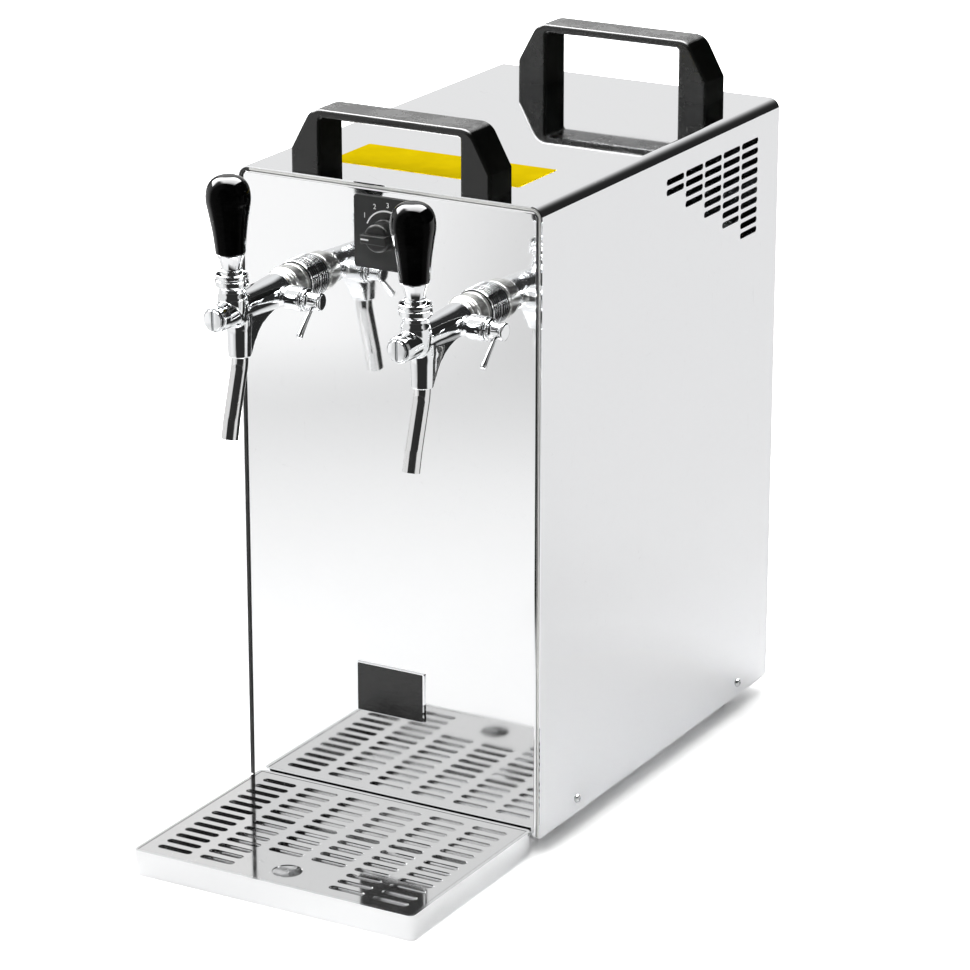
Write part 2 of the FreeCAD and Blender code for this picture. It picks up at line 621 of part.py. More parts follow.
def feet():
    parts, screws = [], []
    for x, y in foot_spots():
        bore = rod("screw_r + screw_play", (x, y, "foot_seat - over"), "low")
        well = rod("foot_bore_r", (x, y, "-over"), "foot_seat + over")
        parts.append(cut(taper("foot_tip_r", "foot_r", (x, y, "0"), "low"), [bore, well]))
        head = rod("screw_head_r", (x, y, "foot_seat - screw_head"), "screw_head")
        screws.append(join([head, rod("screw_r", (x, y, "foot_seat - screw_head / 2"),
                                      "base_top + screw_reach - foot_seat + screw_head / 2")]))
    node(group(parts), "feet")
    node(group(screws), "foot_screws")


def handle(place):
    """An arch with sloping shoulders that stands on the top by two legs."""
    body = new_body()
    y, z = f"front + {place}_handle_set", "top"
    side, brow, way = "handle_width / 2", "handle_top_width / 2", "handle_opening / 2"
    half = [(side, z), (side, z + " + handle_shoulder"), (brow, z + " + handle_height")]
    inside = [(way, z + " + handle_height - handle_bar"), (way, z)]
    profile = [(f"{place}_handle_side + {x}", rise) for x, rise in half]
    profile += [(f"{place}_handle_side - {x}", rise) for x, rise in half[::-1] + inside[::-1]]
    profile += [(f"{place}_handle_side + {x}", rise) for x, rise in inside]
    slab(body, "XZ", lambda s: outline(s, profile), y, y + " + handle_depth")
    brow_z, faces = val(z + " + handle_height"), (val(y), val(y + " + handle_depth"))
    corners = (val(z + " + handle_shoulder"), val(z + " + handle_height - handle_bar"))
    soften(body, "brow_round", lambda e: along(e, "Y") and near(e.BoundBox.ZMin, brow_z))
    soften(body, "handle_round",
           lambda e: along(e, "Y") and any(near(e.BoundBox.ZMin, corner) for corner in corners))
    soften(body, "handle_round",
           lambda e: any(at_y(e, face) for face in faces) and not near(e.BoundBox.ZMax, val(z)))
    spots = [(x, spot) for x, spot in handle_screw_spots() if x.startswith(place)]
    carve(body, "XY", lambda s: circles(s, "handle_screw_r + running", spots),
          "top - over", "top + handle_screw_reach + over")
    node(body, place + "_handle")


def handle_screw_spots():
    spots = []
    for place in ("front", "rear"):
        for sign in ("-", "+"):
            for step in ("-", "+"):
                y = f"front + {place}_handle_set + handle_depth / 2 {step} handle_screw_spread / 2"
                spots.append((f"{place}_handle_side {sign} leg_x", y))
    return spots


def handle_screws():
    parts = []
    for x, y in handle_screw_spots():
        head = rod("handle_screw_head_r", (x, y, "top - sheet - handle_screw_head"), "handle_screw_head")
        shank = rod("handle_screw_r", (x, y, "top - sheet - over"), "sheet + over + handle_screw_reach")
        parts.append(join([head, shank]))
    node(group(parts), "handle_screws")


def side_screws():
    parts = []
    for y, z in side_screw_spots():
        parts.append(join([taper("screw_head_r", "screw_r", ("half", y, z), "screw_head", "X"),
                           rod("screw_r", ("half - screw_reach", y, z), "screw_reach + over", "X")]))
        parts.append(join([taper("screw_r", "screw_head_r", ("-half - screw_head", y, z), "screw_head", "X"),
                           rod("screw_r", ("-half - over", y, z), "screw_reach + over", "X")]))
    node(group(parts), "side_screws")


def back_screws():
    parts = []
    for x, z in back_screw_spots():
        parts.append(join([taper("screw_head_r", "screw_r", (x, "back", z), "screw_head", "Y"),
                           rod("screw_r", (x, "back - screw_reach", z), "screw_reach + over", "Y")]))
    node(group(parts), "back_screws")


def plate(label, plane, x, y, low, high, corner):
    body = new_body()
    slab(body, plane, lambda s: rectangle(s, x, y), low, high)
    soften(body, corner, lambda e: along(e, "Z" if plane == "XY" else "Y"))
    return node(body, label)


def plates():
    plate("label_plate", "XY", ("label_side - label_width / 2", "label_side + label_width / 2"),
          ("front + label_set", "front + label_set + label_depth"), "top", "top + label_thick", "1.5 * sheet")
    plate("badge_plate", "XZ", ("-badge_width / 2", "badge_width / 2"),
          ("low + badge_rise - badge_tall / 2", "low + badge_rise + badge_tall / 2"),
          "front - badge_thick", "front", "sheet")
    dial = plate("thermostat_plate", "XZ", ("-dial_plate / 2", "dial_plate / 2"),
                 ("dial_z - dial_plate / 2", "dial_z + dial_plate / 2"), "front - dial_thick", "front",
                 "dial_corner")
    carve(dial, "XZ", lambda s: circle(s, "dial_neck_r + screw_play", "0", "dial_z"),
          "front - dial_thick - over", "front + over")


def thermostat():
    """A capillary thermostat behind the panel, its bulb down the middle of the cooling block."""
    back_y = "front + sheet + thermostat_deep"
    case = block(("-thermostat_width / 2", "thermostat_width / 2"), ("front + sheet", back_y),
                 ("dial_z - thermostat_tall / 2", "dial_z + thermostat_tall / 2"))
    neck = rod("dial_neck_r", ("0", "front - dial_thick", "dial_z"), "dial_thick + sheet + over", "Y")
    shaft = rod("dial_shaft_r", ("0", "front - dial_thick - knob_reach * 0.7", "dial_z"), "knob_reach", "Y")
    bend = val("riser_bend")
    line = solid(pipe(rounded(points(("0", back_y + " - over", "dial_z"), ("0", "tub_y", "dial_z"),
                                     ("0", "tub_y", "low + drum_high - bulb_r")), bend), val("capillary_r")))
    bulb = rod("bulb_r", ("0", "tub_y", "low + drum_high - bulb_long"), "bulb_long")
    node(join([case, neck, shaft, line, bulb]), "thermostat_body")


def thermostat_knob():
    face = "front - dial_thick - gap"
    disc = rod("knob_disc_r", ("0", f"{face} - knob_disc", "dial_z"), "knob_disc", "Y")
    grip = doc.addObject("Part::Common", "grip")
    grip.Base = rod("knob_grip_r", ("0", f"{face} - knob_reach", "dial_z"), "knob_reach", "Y")
    grip.Tool = block(("-knob_grip_r", "knob_grip_r"), (f"{face} - knob_reach", face),
                      ("dial_z - knob_grip_width / 2", "dial_z + knob_grip_width / 2"))
    shaft_hole = rod("dial_shaft_r + running", ("0", "front - dial_thick - knob_reach * 0.7 - gap", "dial_z"),
                     "knob_reach", "Y")
    node(cut(join([disc, grip]), [shaft_hole]), "thermostat_knob")


# The drip tray

def drip_tray():
    body = new_body()
    y = ("tray_middle - tray_depth / 2", "tray_middle + tray_depth / 2")
    slab(body, "XY", lambda s: rectangle(s, ("tray_side - tray_width / 2", "tray_side + tray_width / 2"), y),
         "0", "tray_height")
    soften(body, "tray_corner", lambda e: along(e, "Z"))
    carve(body, "XY", lambda s: rectangle(s, ("tray_side + tray_rim - tray_width / 2",
                                             "tray_side + tray_width / 2 - tray_rim"),
                                          (y[0] + " + tray_rim", y[1] + " - tray_rim")),
          "sheet", "tray_height + over")
    node(body, "drip_tray")


def drip_grille():
    """A slotted plate with edges turned down, which stands on the floor of the tray."""
    body = new_body()
    x = "tray_width / 2 - tray_rim - grille_play"
    reach = "tray_depth / 2 - tray_rim - grille_play"
    top = "tray_height - grille_drop"
    slab(body, "XY",
         lambda s: rectangle(s, (f"tray_side - ({x})", f"tray_side + {x}"),
                             (f"tray_middle - ({reach})", f"tray_middle + {reach}")),
         "sheet", top)
    carve(body, "XY", lambda s: rectangle(s, (f"tray_side + grille_thick - ({x})",
                                              f"tray_side + {x} - grille_thick"),
                                          (f"tray_middle - ({reach}) + grille_thick",
                                           f"tray_middle + {reach} - grille_thick")), "0",
                                           f"{top} - grille_thick")
    for column in range(6):
        rows = 10 if column in (2, 3) else 13
        first = carve(body, "XY", lambda s: slot(s, "grille_slot_length", "grille_slot_width",
                                                 f"tray_side + ({column} - 2.5) * grille_column",
                                                 "tray_middle + 6 * grille_row"),
                      f"{top} - grille_thick - over", f"{top} + over")
        repeat(body, first, "V_Axis", f"{rows - 1} * grille_row", rows, reverse=True)
    carve(body, "XY", lambda s: circle(s, "finger_r", "tray_side", "front - finger_set"),
          f"{top} - grille_thick - over", f"{top} + over")
    node(body, "drip_grille")


# The taps: each piece is made about the point where the tap's axis meets the panel, then put in its place

def on_tap(obj, tap_x, label, turn=None):
    node(seat(obj, tap_x, "front", "tap_z", turn), label)


def wall_ring(tap_x, side):
    profile = [("bore_r", "0"), ("wall_ring_r", "0")]
    for k in range(3):
        low = f"(wall_ring_long - 2 * rib_pitch - rib_groove) / 2 + {k} * rib_pitch"
        profile += [("wall_ring_r", low), ("wall_ring_r - rib_depth", low),
                    ("wall_ring_r - rib_depth", f"{low} + rib_groove"),
                    ("wall_ring_r", f"{low} + rib_groove")]
    profile += [("wall_ring_r", "wall_ring_long"), ("bore_r", "wall_ring_long")]
    on_tap(lathe(profile), tap_x, side + "_wall_ring", FLIP_FORWARD)


def coupling_nut(tap_x, side):
    step = "shank_out + running"
    profile = [("bore_r", "wall_ring_long + running"), ("nut_r", "wall_ring_long + running"),
               ("nut_r", "nut_end"),
               ("nut_neck_r", "nut_end"), ("nut_neck_r", "nut_neck_end"), ("nut_bore_r", "nut_neck_end"),
               ("nut_bore_r", step), ("bore_r", step)]

    def hole(sketch):
        circle(sketch, "spanner_hole_r", "0", "spanner_hole_at")

    turn = FLIP_FORWARD.multiply(FreeCAD.Rotation(V(0, 0, 1), val("spanner_turn")))
    on_tap(lathe(profile, [("XZ", hole, "nut_r + over"), ("YZ", hole, "nut_r + over")]), tap_x,
           side + "_coupling_nut", turn)


def tap_shank(tap_x, side):
    profile = [("shank_bore_r", "-shank_in - tail_length"), ("tail_r + sheet", "-shank_in - tail_length"),
               ("tail_r + sheet", "-shank_in"), ("shank_r", "-shank_in"), ("shank_r", "shank_out"),
               ("shank_bore_r", "shank_out")]
    on_tap(lathe(profile), tap_x, side + "_tap_shank", FLIP_FORWARD)


def lock_nuts():
    nuts = []
    for tap_x in ("left_tap", "right_tap"):
        hexagon = doc.addObject("Part::Prism", "hexagon")
        hexagon.Polygon = 6
        tie(hexagon, Circumradius="lock_nut_r", Height="lock_nut_tall")
        seat(hexagon, tap_x, "front + sheet", "tap_z", AXIS_TURNS["Y"])
        nuts.append(cut(hexagon, [rod("bore_r", (tap_x, "front", "tap_z"), "lock_nut_tall + 2 * over", "Y")]))
    node(group(nuts), "lock_nuts")


def valve_slot(half_width, margin=0):
    """The room in which the lever's tail swings, between the ball and the spool."""
    at, high, tail = -val("lever_at"), val("pivot_rise - ball_r + over"), val("tail_ball_r + lever_play")
    low = val("-nose_drop")
    drop_high, drop_low = val("pivot_rise") - high, val("pivot_rise") - low
    pour, foam = math.radians(val("pour_angle + lever_lean")), math.radians(val("foam_angle"))
    outline_yz = [(at - drop_high * math.tan(foam) - tail, high),
                  (at + drop_high * math.tan(pour) + tail, high),
                  (at + drop_low * math.tan(pour) + tail, low), (at - drop_low * math.tan(foam) - tail, low)]
    corners = [V(-half_width, y, z) for y, z in outline_yz]
    return Part.Face(Part.makePolygon(corners + corners[:1])).extrude(V(2 * half_width, 0, 0))


def tap_casting():
    """The cast body: barrel, valve block, nose, spout boss with its web, and the boss of the side lever."""
    forward, right, up = V(0, -1, 0), V(1, 0, 0), V(0, 0, 1)
    tail_start = val("shank_out + 2 * running")
    barrel_start, side_y, side_z = val("nut_neck_end + gap"), -val("side_at"), -val("side_drop")
    spout_y, nose_z = -val("spout_at"), -val("nose_drop")
    spool_bore, barrel_bore = val("spool_bore_r"), val("barrel_bore_r")
    lever_y, seat_at, nose_end = -val("lever_at"), val("seat_at"), val("nose_end")
    tip_at = val("spout_at + over")
    web_half = val("web_half")
    web_line = [("side_at", "web_start_drop"), ("web_mid_at", "web_mid_drop"),
                ("web_low_at", "spout_boss_drop - web_low_rise"), ("web_end_at", "spout_boss_drop"),
                ("spout_at", "spout_boss_drop"), ("spout_at", "0"), ("side_at", "0")]
    web = [V(-web_half, -val(at), -val(drop)) for at, drop in web_line]
    sweep = Part.BSplineCurve()
    sweep.interpolate(web[:4])
    web_edges = [sweep.toShape()] + Part.makePolygon(web[3:] + web[:1]).Edges
    adds = [
        Part.makeCylinder(val("nut_bore_r - gap"), barrel_start - tail_start + val("over"),
                          V(0, -tail_start, 0), forward),
        Part.makeCylinder(val("nose_r"), nose_end - tip_at + val("over"),
                          V(0, -tip_at + val("over"), nose_z), forward),
        Part.makeCylinder(val("block_r"), val("block_drop + block_rise"), V(0, lever_y, -val("block_drop")),
                          up),
        Part.makeCone(val("block_r"), val("neck_r"), val("neck_rise - block_rise"),
                      V(0, lever_y, val("block_rise")), up),
        Part.makeCone(val("spout_boss_r"), val("spout_boss_r") - 1, val("spout_boss_drop"), V(0, spout_y, 0),
                      -up),
        Part.Face(Part.Wire(web_edges)).extrude(V(2 * web_half, 0, 0)),
        Part.makeCylinder(val("side_boss_r"), val("side_boss_reach"), V(0, side_y, side_z), right),
    ]
    body = Part.makeCone(val("barrel_r"), val("barrel_tip_r"), tip_at - barrel_start, V(0, -barrel_start, 0),
                         forward)
    body = body.fuse(adds).removeSplitter()
    over = val("over")
    cuts = [
        Part.makeCylinder(barrel_bore, seat_at - tail_start + over, V(0, -tail_start + over, 0), forward),
        Part.makeCylinder(spool_bore, nose_end - seat_at + 2 * over, V(0, -seat_at + over, nose_z), forward),
        Part.makeCylinder(val("side_bore_r"), val("side_boss_reach") + over, V(0, side_y, side_z), right),
        Part.makeCylinder(val("spout_r + running"), val("spout_seat") + over,
                          V(0, spout_y, -val("spout_boss_drop") - over), up),
        Part.makeCylinder(val("spout_bore_r"), val("spout_boss_drop + nose_drop"), V(0, spout_y, nose_z),
                          -up),
        Part.makeSphere(val("socket_r"), V(0, lever_y, val("pivot_rise"))),
        valve_slot(val("tail_ball_r + lever_play")),
    ]
    return body.cut(cuts)


def nose_screws():
    screws = []
    for tap_x in ("left_tap", "right_tap"):
        z = "tap_z - nose_drop"
        cap_end = "front - nose_end - nose_cap"
        cap = rod("nose_cap_r", (tap_x, cap_end, z), "nose_cap", "Y")
        plug = rod("spool_r", (tap_x, "front - nose_end - over", z), "nose_cap + over", "Y")
        drive = block((f"{tap_x} - nose_slot / 2", f"{tap_x} + nose_slot / 2"),
                      (cap_end + " - over", cap_end + " + nose_cap / 2"),
                      (f"{z} - nose_cap_r - over", f"{z} + nose_cap_r + over"))
        screws.append(cut(join([cap, plug]), [drive]))
    node(group(screws), "nose_screws")


def bonnet_nut(tap_x, side):
    ring = rod("bonnet_r", ("0", "-lever_at", "neck_rise"), "bonnet_top - neck_rise")
    groove = cut(rod("bonnet_r + over", ("0", "-lever_at", "neck_rise + over"), "over"),
                 [rod("bonnet_r - over", ("0", "-lever_at", "neck_rise"), "3 * over")])
    lip = "(bonnet_top - pivot_rise) / 4"
    mouth = taper("socket_r", "bonnet_mouth_r + running", ("0", "-lever_at", f"pivot_rise + {lip}"),
                  f"3 * {lip} + running")
    throat = rod("socket_r * 0.8", ("0", "-lever_at", "neck_rise - over"),
                 "pivot_rise - neck_rise - 3 * over")
    hollow = ball("socket_r", "0", "-lever_at", "pivot_rise")
    on_tap(cut(ring, [groove, mouth, throat, hollow]), tap_x, side + "_bonnet_nut")


def tap_lever(tap_x, side):
    """Ball, tail, chrome ferrule and the stud under the knob, about the ball's centre."""
    foot = "sqrt(ball_r ^ 2 - ferrule_foot_r ^ 2)"
    parts = [ball("ball_r", "0", "0", "0"), rod("lever_tail_r", ("0", "0", "-tail_reach"), "tail_reach"),
             ball("tail_ball_r", "0", "0", "-tail_reach"),
             taper("ferrule_foot_r", "ferrule_r", ("0", "0", foot), f"ferrule_rise - {foot}"),
             rod("stud_r", ("0", "0", "ferrule_rise - over"), "stud_reach + over")]
    lean = FreeCAD.Rotation(V(1, 0, 0), val("lever_lean"))
    node(seat(join(parts), tap_x, "front - lever_at", "tap_z + pivot_rise", lean), side + "_tap_lever")


def lever_knob(tap_x, side):
    """A pear: a cone that runs into a ball, on the same lean as the lever."""
    middle = "ferrule_rise + handle_long - handle_ball_r"
    meet = "handle_ball_r * 0.2"
    sleeve = taper("handle_foot_r", f"sqrt(handle_ball_r ^ 2 - ({meet}) ^ 2)",
                   ("0", "0", "ferrule_rise + running"),
                   f"{middle} - {meet} - ferrule_rise - running")
    hole = rod("stud_r + running", ("0", "0", "ferrule_rise"), "stud_reach + gap")
    lean = FreeCAD.Rotation(V(1, 0, 0), val("lever_lean"))
    knob = cut(join([sleeve, ball("handle_ball_r", "0", "0", middle)]), [hole])
    node(seat(knob, tap_x, "front - lever_at", "tap_z + pivot_rise", lean), side + "_lever_knob")


def valve_piston(tap_x, side):
    """The sliding spool: the lever's tail sits in its top slot, beer runs through the passage below it."""
    z = "-nose_drop"
    spool = rod("spool_r", ("0", "-spool_front", z), "spool_front - spool_back", "Y")
    slot_half = "tail_ball_r + lever_play"
    tail_y = "-lever_at + tail_reach * sin(lever_lean)"
    tail_room = block((f"-({slot_half})", slot_half),
                      (f"{tail_y} - ({slot_half})", f"{tail_y} + {slot_half}"),
                      ("pivot_rise - tail_reach - tail_ball_r - lever_play", "spool_r"))
    window = block(("-spool_r", "spool_r"), ("-lever_at - window_front", "-lever_at + window_back"),
                   (f"{z} - spool_r - over", f"{z} - window_drop"))
    passage = rod("passage_r", ("0", "-lever_at", f"{z} - window_drop"), "lever_at + over - spool_back", "Y")
    on_tap(cut(spool, [tail_room, window, passage]), tap_x, side + "_valve_piston")


def compensator_cone(tap_x, side):
    """A tapered plug that slides in the barrel, with a slotted tongue for the side lever's crank pin."""
    plug = taper("cone_tip_r", "cone_r", ("0", "-cone_tip_at", "0"), "cone_tip_at - cone_back_at", "Y")
    tongue = block(("-tongue_half", "tongue_half"), ("-cone_back_at - over", "-tongue_back_at"),
                   ("-tongue_low", "tongue_high"))
    room = "crank_pin_r + gap"
    pin_room = block(("-tongue_half - over", "tongue_half + over"),
                     (f"-side_at - ({room})", f"-side_at + {room}"),
                     ("-side_drop - over", "pin_room_high"))
    on_tap(cut(join([plug, tongue]), [pin_room]), tap_x, side + "_compensator_cone")


def compensator_lever(tap_x, side):
    y, z = "-side_at", "-side_drop"
    flange_start = "side_boss_reach + gap"
    shaft = rod("side_shaft_r", ("shaft_set", y, z), f"{flange_start} + over - shaft_set", "X")
    pin = rod("crank_pin_r", ("-pin_reach", y, z + " + crank"), "pin_reach + shaft_set + over", "X")
    flange = rod("side_flange_r", (flange_start, y, z), "side_flange", "X")
    hub = rod("side_hub_r", (flange_start, y, z), "side_flange + side_hub", "X")
    arm = doc.addObject("Part::Cylinder", "arm")
    tie(arm, Radius="side_rod_r", Height="sqrt(side_rod_ahead ^ 2 + side_rod_drop ^ 2)")
    slope = math.degrees(math.atan2(val("side_rod_ahead"), -val("side_rod_drop")))
    seat(arm, f"{flange_start} + side_flange + side_hub * 0.6", y, z, FreeCAD.Rotation(V(1, 0, 0), slope))
    on_tap(join([shaft, pin, flange, hub, arm]), tap_x, side + "_compensator_lever")


def spout_tube():
    start, end_y, end_z = -val("spout_at"), -val("spout_end_at"), -val("spout_end_drop")
    top, knee = -val("spout_boss_drop - spout_seat + gap"), -val("spout_knee_drop")
    lower_y, lower_z = start + (end_y - start) * 0.77, knee + (end_z - knee) * 0.72
    path = rounded([V(0, start, top), V(0, start, knee), V(0, lower_y, lower_z), V(0, end_y, end_z)],
                   val("spout_bend"))
    return pipe(path, val("spout_r"), val("spout_bore_r"))


def tap(tap_x, side):
    wall_ring(tap_x, side)
    coupling_nut(tap_x, side)
    tap_shank(tap_x, side)
    on_tap(solid(tap_casting()), tap_x, side + "_tap_body")
    bonnet_nut(tap_x, side)
    tap_lever(tap_x, side)
    lever_knob(tap_x, side)
    valve_piston(tap_x, side)
    compensator_cone(tap_x, side)
    compensator_lever(tap_x, side)
    on_tap(solid(spout_tube()), tap_x, side + "_spout")


# The cold side

def cooling():
    half_tub = "tub_width / 2"
    y = (f"tub_y - {half_tub}", f"tub_y + {half_tub}")
    room = f"{half_tub} - tub_wall"
    tub = cut(block((f"-{half_tub}", half_tub), y, ("low + tub_low", "low + tub_high")),
              [block((f"-({room})", room), (f"tub_y - ({room})", f"tub_y + {room}"),
                     ("low + tub_low + tub_floor", "low + tub_high + over"))])
    node(tub, "insulation_tub")
    leg_x, shelf_y = "shelf_width / 2", ("base_front + base_sheet + gap", y[1])
    shelf = cut(block((f"-{leg_x}", leg_x), shelf_y, ("base_top", "low + tub_low")),
                [block((f"shelf_sheet - {leg_x}", f"{leg_x} - shelf_sheet"),
                       (f"{y[0]} - over", f"{y[1]} + over"),
                       ("base_top - over", "low + tub_low - shelf_sheet"))])
    node(shelf, "tub_shelf")
    floor = "low + tub_low + tub_floor"
    well = rod("bulb_r + running", ("0", "tub_y", "low + drum_high - bulb_long - gap"),
               "bulb_long + gap + over")
    drum = cut(rod("drum_r", ("0", "tub_y", floor), f"low + drum_high - ({floor})"), [well])
    node(drum, "cooling_block")


def run_up(spot, heading, distance):
    return spot + heading * distance


def evaporator_coil():
    low, high, above = val("low + evaporator_low"), val("low + evaporator_high"), val("low + over_tub")
    centre, bend, away = V(0, val("tub_y"), 0), val("riser_bend"), val("riser_back - evaporator_set")
    turns, start, end = coil_edges(centre, val("evaporator_r"), high, low, val("evaporator_turns"))
    first, last = run_up(*start, -away), run_up(*end, away)
    wire = rounded([V(first.x, first.y, above), first, start[0]], bend / 2)
    wire += turns + rounded([end[0], last, V(last.x, last.y, above)], bend / 2)
    node(solid(pipe(wire, val("tube_r"), val("tube_bore_r"))), "evaporator_coil")


def product_coil(side, mirror, tap_x, start_z, end_z):
    """One tube from the rear fitting, over the tub's edge, round the block and up to the tap's shank."""
    above, bend = val("low + over_tub"), val("riser_bend")
    centre = V(0, val("tub_y"), 0)
    turns, start, end = coil_edges(centre, val("coil_r"), val("low + " + start_z), val("low + " + end_z),
                                   val("coil_turns"), mirror)
    first, last = run_up(*start, -val("riser_back")), run_up(*end, val("riser_front"))
    far, back_y = mirror * val("side_run"), val("wall_in - inlet_run")
    inlet = V(mirror * val("inlet_x"), val("back - sheet - fitting_in"), val("low + inlet_rise"))
    shank_y, shank_z = val("front + shank_in + tail_length"), val("tap_z")
    before = rounded([inlet, V(inlet.x, back_y, inlet.z), V(far, back_y, inlet.z), V(far, back_y, above),
                      V(far, first.y, above), V(first.x, first.y, above), first, start[0]], bend)
    after = rounded([end[0], last, V(last.x, last.y, above - val("tap_line_drop")),
                     V(val(tap_x), last.y, shank_z),
                     V(val(tap_x), shank_y, shank_z)], bend)
    node(solid(pipe(before + turns + after, val("tube_r"), val("tube_bore_r"))), side + "_product_coil")


# The machine side

def compressor():
    plate_low = "base_top + grommet_tall"
    x, y = "compressor_plate / 2", "plate_deep / 2"
    plate_z = (plate_low, plate_low + " + plate_thick")
    shell_low = f"{plate_low} + plate_thick"
    seam_top = "seam_rise + seam_tall"
    profile = [("0", "0"), ("pot_foot_r", "0"), ("compressor_r", "pot_foot"), ("compressor_r", "seam_rise"),
               ("compressor_r + seam_reach", "seam_rise"), ("compressor_r + seam_reach", seam_top),
               ("compressor_r", seam_top), ("compressor_r", "compressor_tall - pot_shoulder"),
               ("pot_crown_r", "compressor_tall - pot_crown"), ("0", "compressor_tall")]
    shell = seat(lathe(profile), "0", "compressor_y", shell_low)
    base = block((f"-{x}", x), (f"compressor_y - {y}", f"compressor_y + {y}"), plate_z)
    stubs = [rod("stub_r",
                 (sign + "stub_spread", "compressor_y", f"{shell_low} + compressor_tall - stub_set"),
                 "stub_tall + stub_set")
             for sign in ("-", "")]
    edge = "grommet_r - grommet_margin"
    spots = [(f"{sx}({x} - {edge})", f"compressor_y {sy} ({y} - {edge})") for sx in ("-", "") for sy in "-+"]
    holes = [rod("grommet_hole_r", (gx, gy, plate_low + " - over"), "plate_thick + 2 * over")
             for gx, gy in spots]
    node(cut(join([shell, base] + stubs), holes), "compressor")
    grommets = []
    for gx, gy in spots:
        body = rod("grommet_r", (gx, gy, "base_top"), "grommet_tall")
        neck = rod("grommet_hole_r - running", (gx, gy, plate_low + " - over"), "plate_thick + 2 * over")
        grommets.append(join([body, neck]))
    node(group(grommets), "compressor_grommets")


def condenser():
    """Upright fins on rows of tube, with a plate at each end."""
    width, tall, deep = val("condenser_width"), val("condenser_tall"), val("condenser_deep")
    y, low = val("shroud_front") - deep, val("fan_z") - tall / 2
    fin, count = val("fin_thick"), round(val("fins"))
    parts = []
    for k in range(count):
        thick = 2 * fin if k in (0, count - 1) else fin
        x = -width / 2 + k * (width - thick) / (count - 1)
        parts.append(Part.makeBox(thick, deep, tall, V(x, y, low)))
    rows = round(val("fin_tubes"))
    for k in range(rows):
        z = low + tall * (k + 0.5) / rows
        parts.append(Part.makeCylinder(val("fin_tube_r"), width + 2 * val("tube_past"),
                                       V(-width / 2 - val("tube_past"), y + deep / 2, z),
                                       V(1, 0, 0)))
    node(solid(parts[0].multiFuse(parts[1:])), "condenser")


def shroud():
    half_box, wall = "shroud_width / 2", "shroud_wall"
    y, z = ("shroud_front", "wall_in"), (f"fan_z - {half_box}", f"fan_z + {half_box}")
    box = cut(block((f"-{half_box}", half_box), y, z),
              [block((f"{wall} - {half_box}", f"{half_box} - {wall}"),
                     (f"shroud_front + {wall}", "wall_in + over"),
                     (f"fan_z - {half_box} + {wall}", f"fan_z + {half_box} - {wall}")),
               rod("shroud_mouth_r", ("0", "shroud_front - over", "fan_z"), f"{wall} + 2 * over", "Y")])
    arm_y = ("wall_in - motor_set - arm_thick", "wall_in - motor_set")
    arms = []
    for sign in ("-", ""):
        near_end, far_end = "motor_r + running", f"{half_box} - {wall} / 2"
        arms.append(block((f"-({far_end})", f"-({near_end})") if sign else (near_end, far_end), arm_y,
                          ("fan_z - arm_width / 2", "fan_z + arm_width / 2")))
    ring = cut(rod("motor_r + motor_ring", ("0", arm_y[0], "fan_z"), "arm_thick", "Y"),
               [rod("motor_r + running", ("0", f"{arm_y[0]} - over", "fan_z"), "arm_thick + 2 * over", "Y")])
    node(join([box, ring] + arms), "fan_shroud")
    motor_front = "wall_in - motor_set - motor_long"
    motor = join([rod("motor_r", ("0", motor_front, "fan_z"), "motor_long", "Y"),
                  rod("motor_shaft_r", ("0", f"{motor_front} - fan_long - gap", "fan_z"), "fan_long + over",
                      "Y")])
    node(motor, "fan_motor")


def fan_blade():
    long, hub_r = val("fan_long"), val("fan_hub_r")
    y = val("wall_in - motor_set - motor_long - gap") - long
    z, tip = val("fan_z"), val("fan_r")
    hub = Part.makeCylinder(hub_r, long, V(0, y, z), V(0, 1, 0))
    blades = []
    for k in range(round(val("fan_blades"))):
        thick, chord, root = val("blade_thick"), val("blade_chord"), val("blade_root_r")
        blade = Part.makeBox(chord * 2, thick, tip - root, V(-chord, -thick / 2, root))
        blade.rotate(V(0, 0, 0), V(0, 0, 1), val("blade_angle") / 2)
        blade.rotate(V(0, 0, 0), V(0, 1, 0), 360 * k / val("fan_blades"))
        blade.translate(V(0, y + long / 2, z))
        blades.append(blade)
    sweep = Part.makeCylinder(tip, long, V(0, y, z), V(0, 1, 0))
    shape = hub.fuse([blade.common(sweep) for blade in blades])
    shape = shape.cut(Part.makeCylinder(val("motor_shaft_r + running"), long + 2, V(0, y - 1, z), V(0, 1, 0)))
    node(solid(shape), "fan_blade")


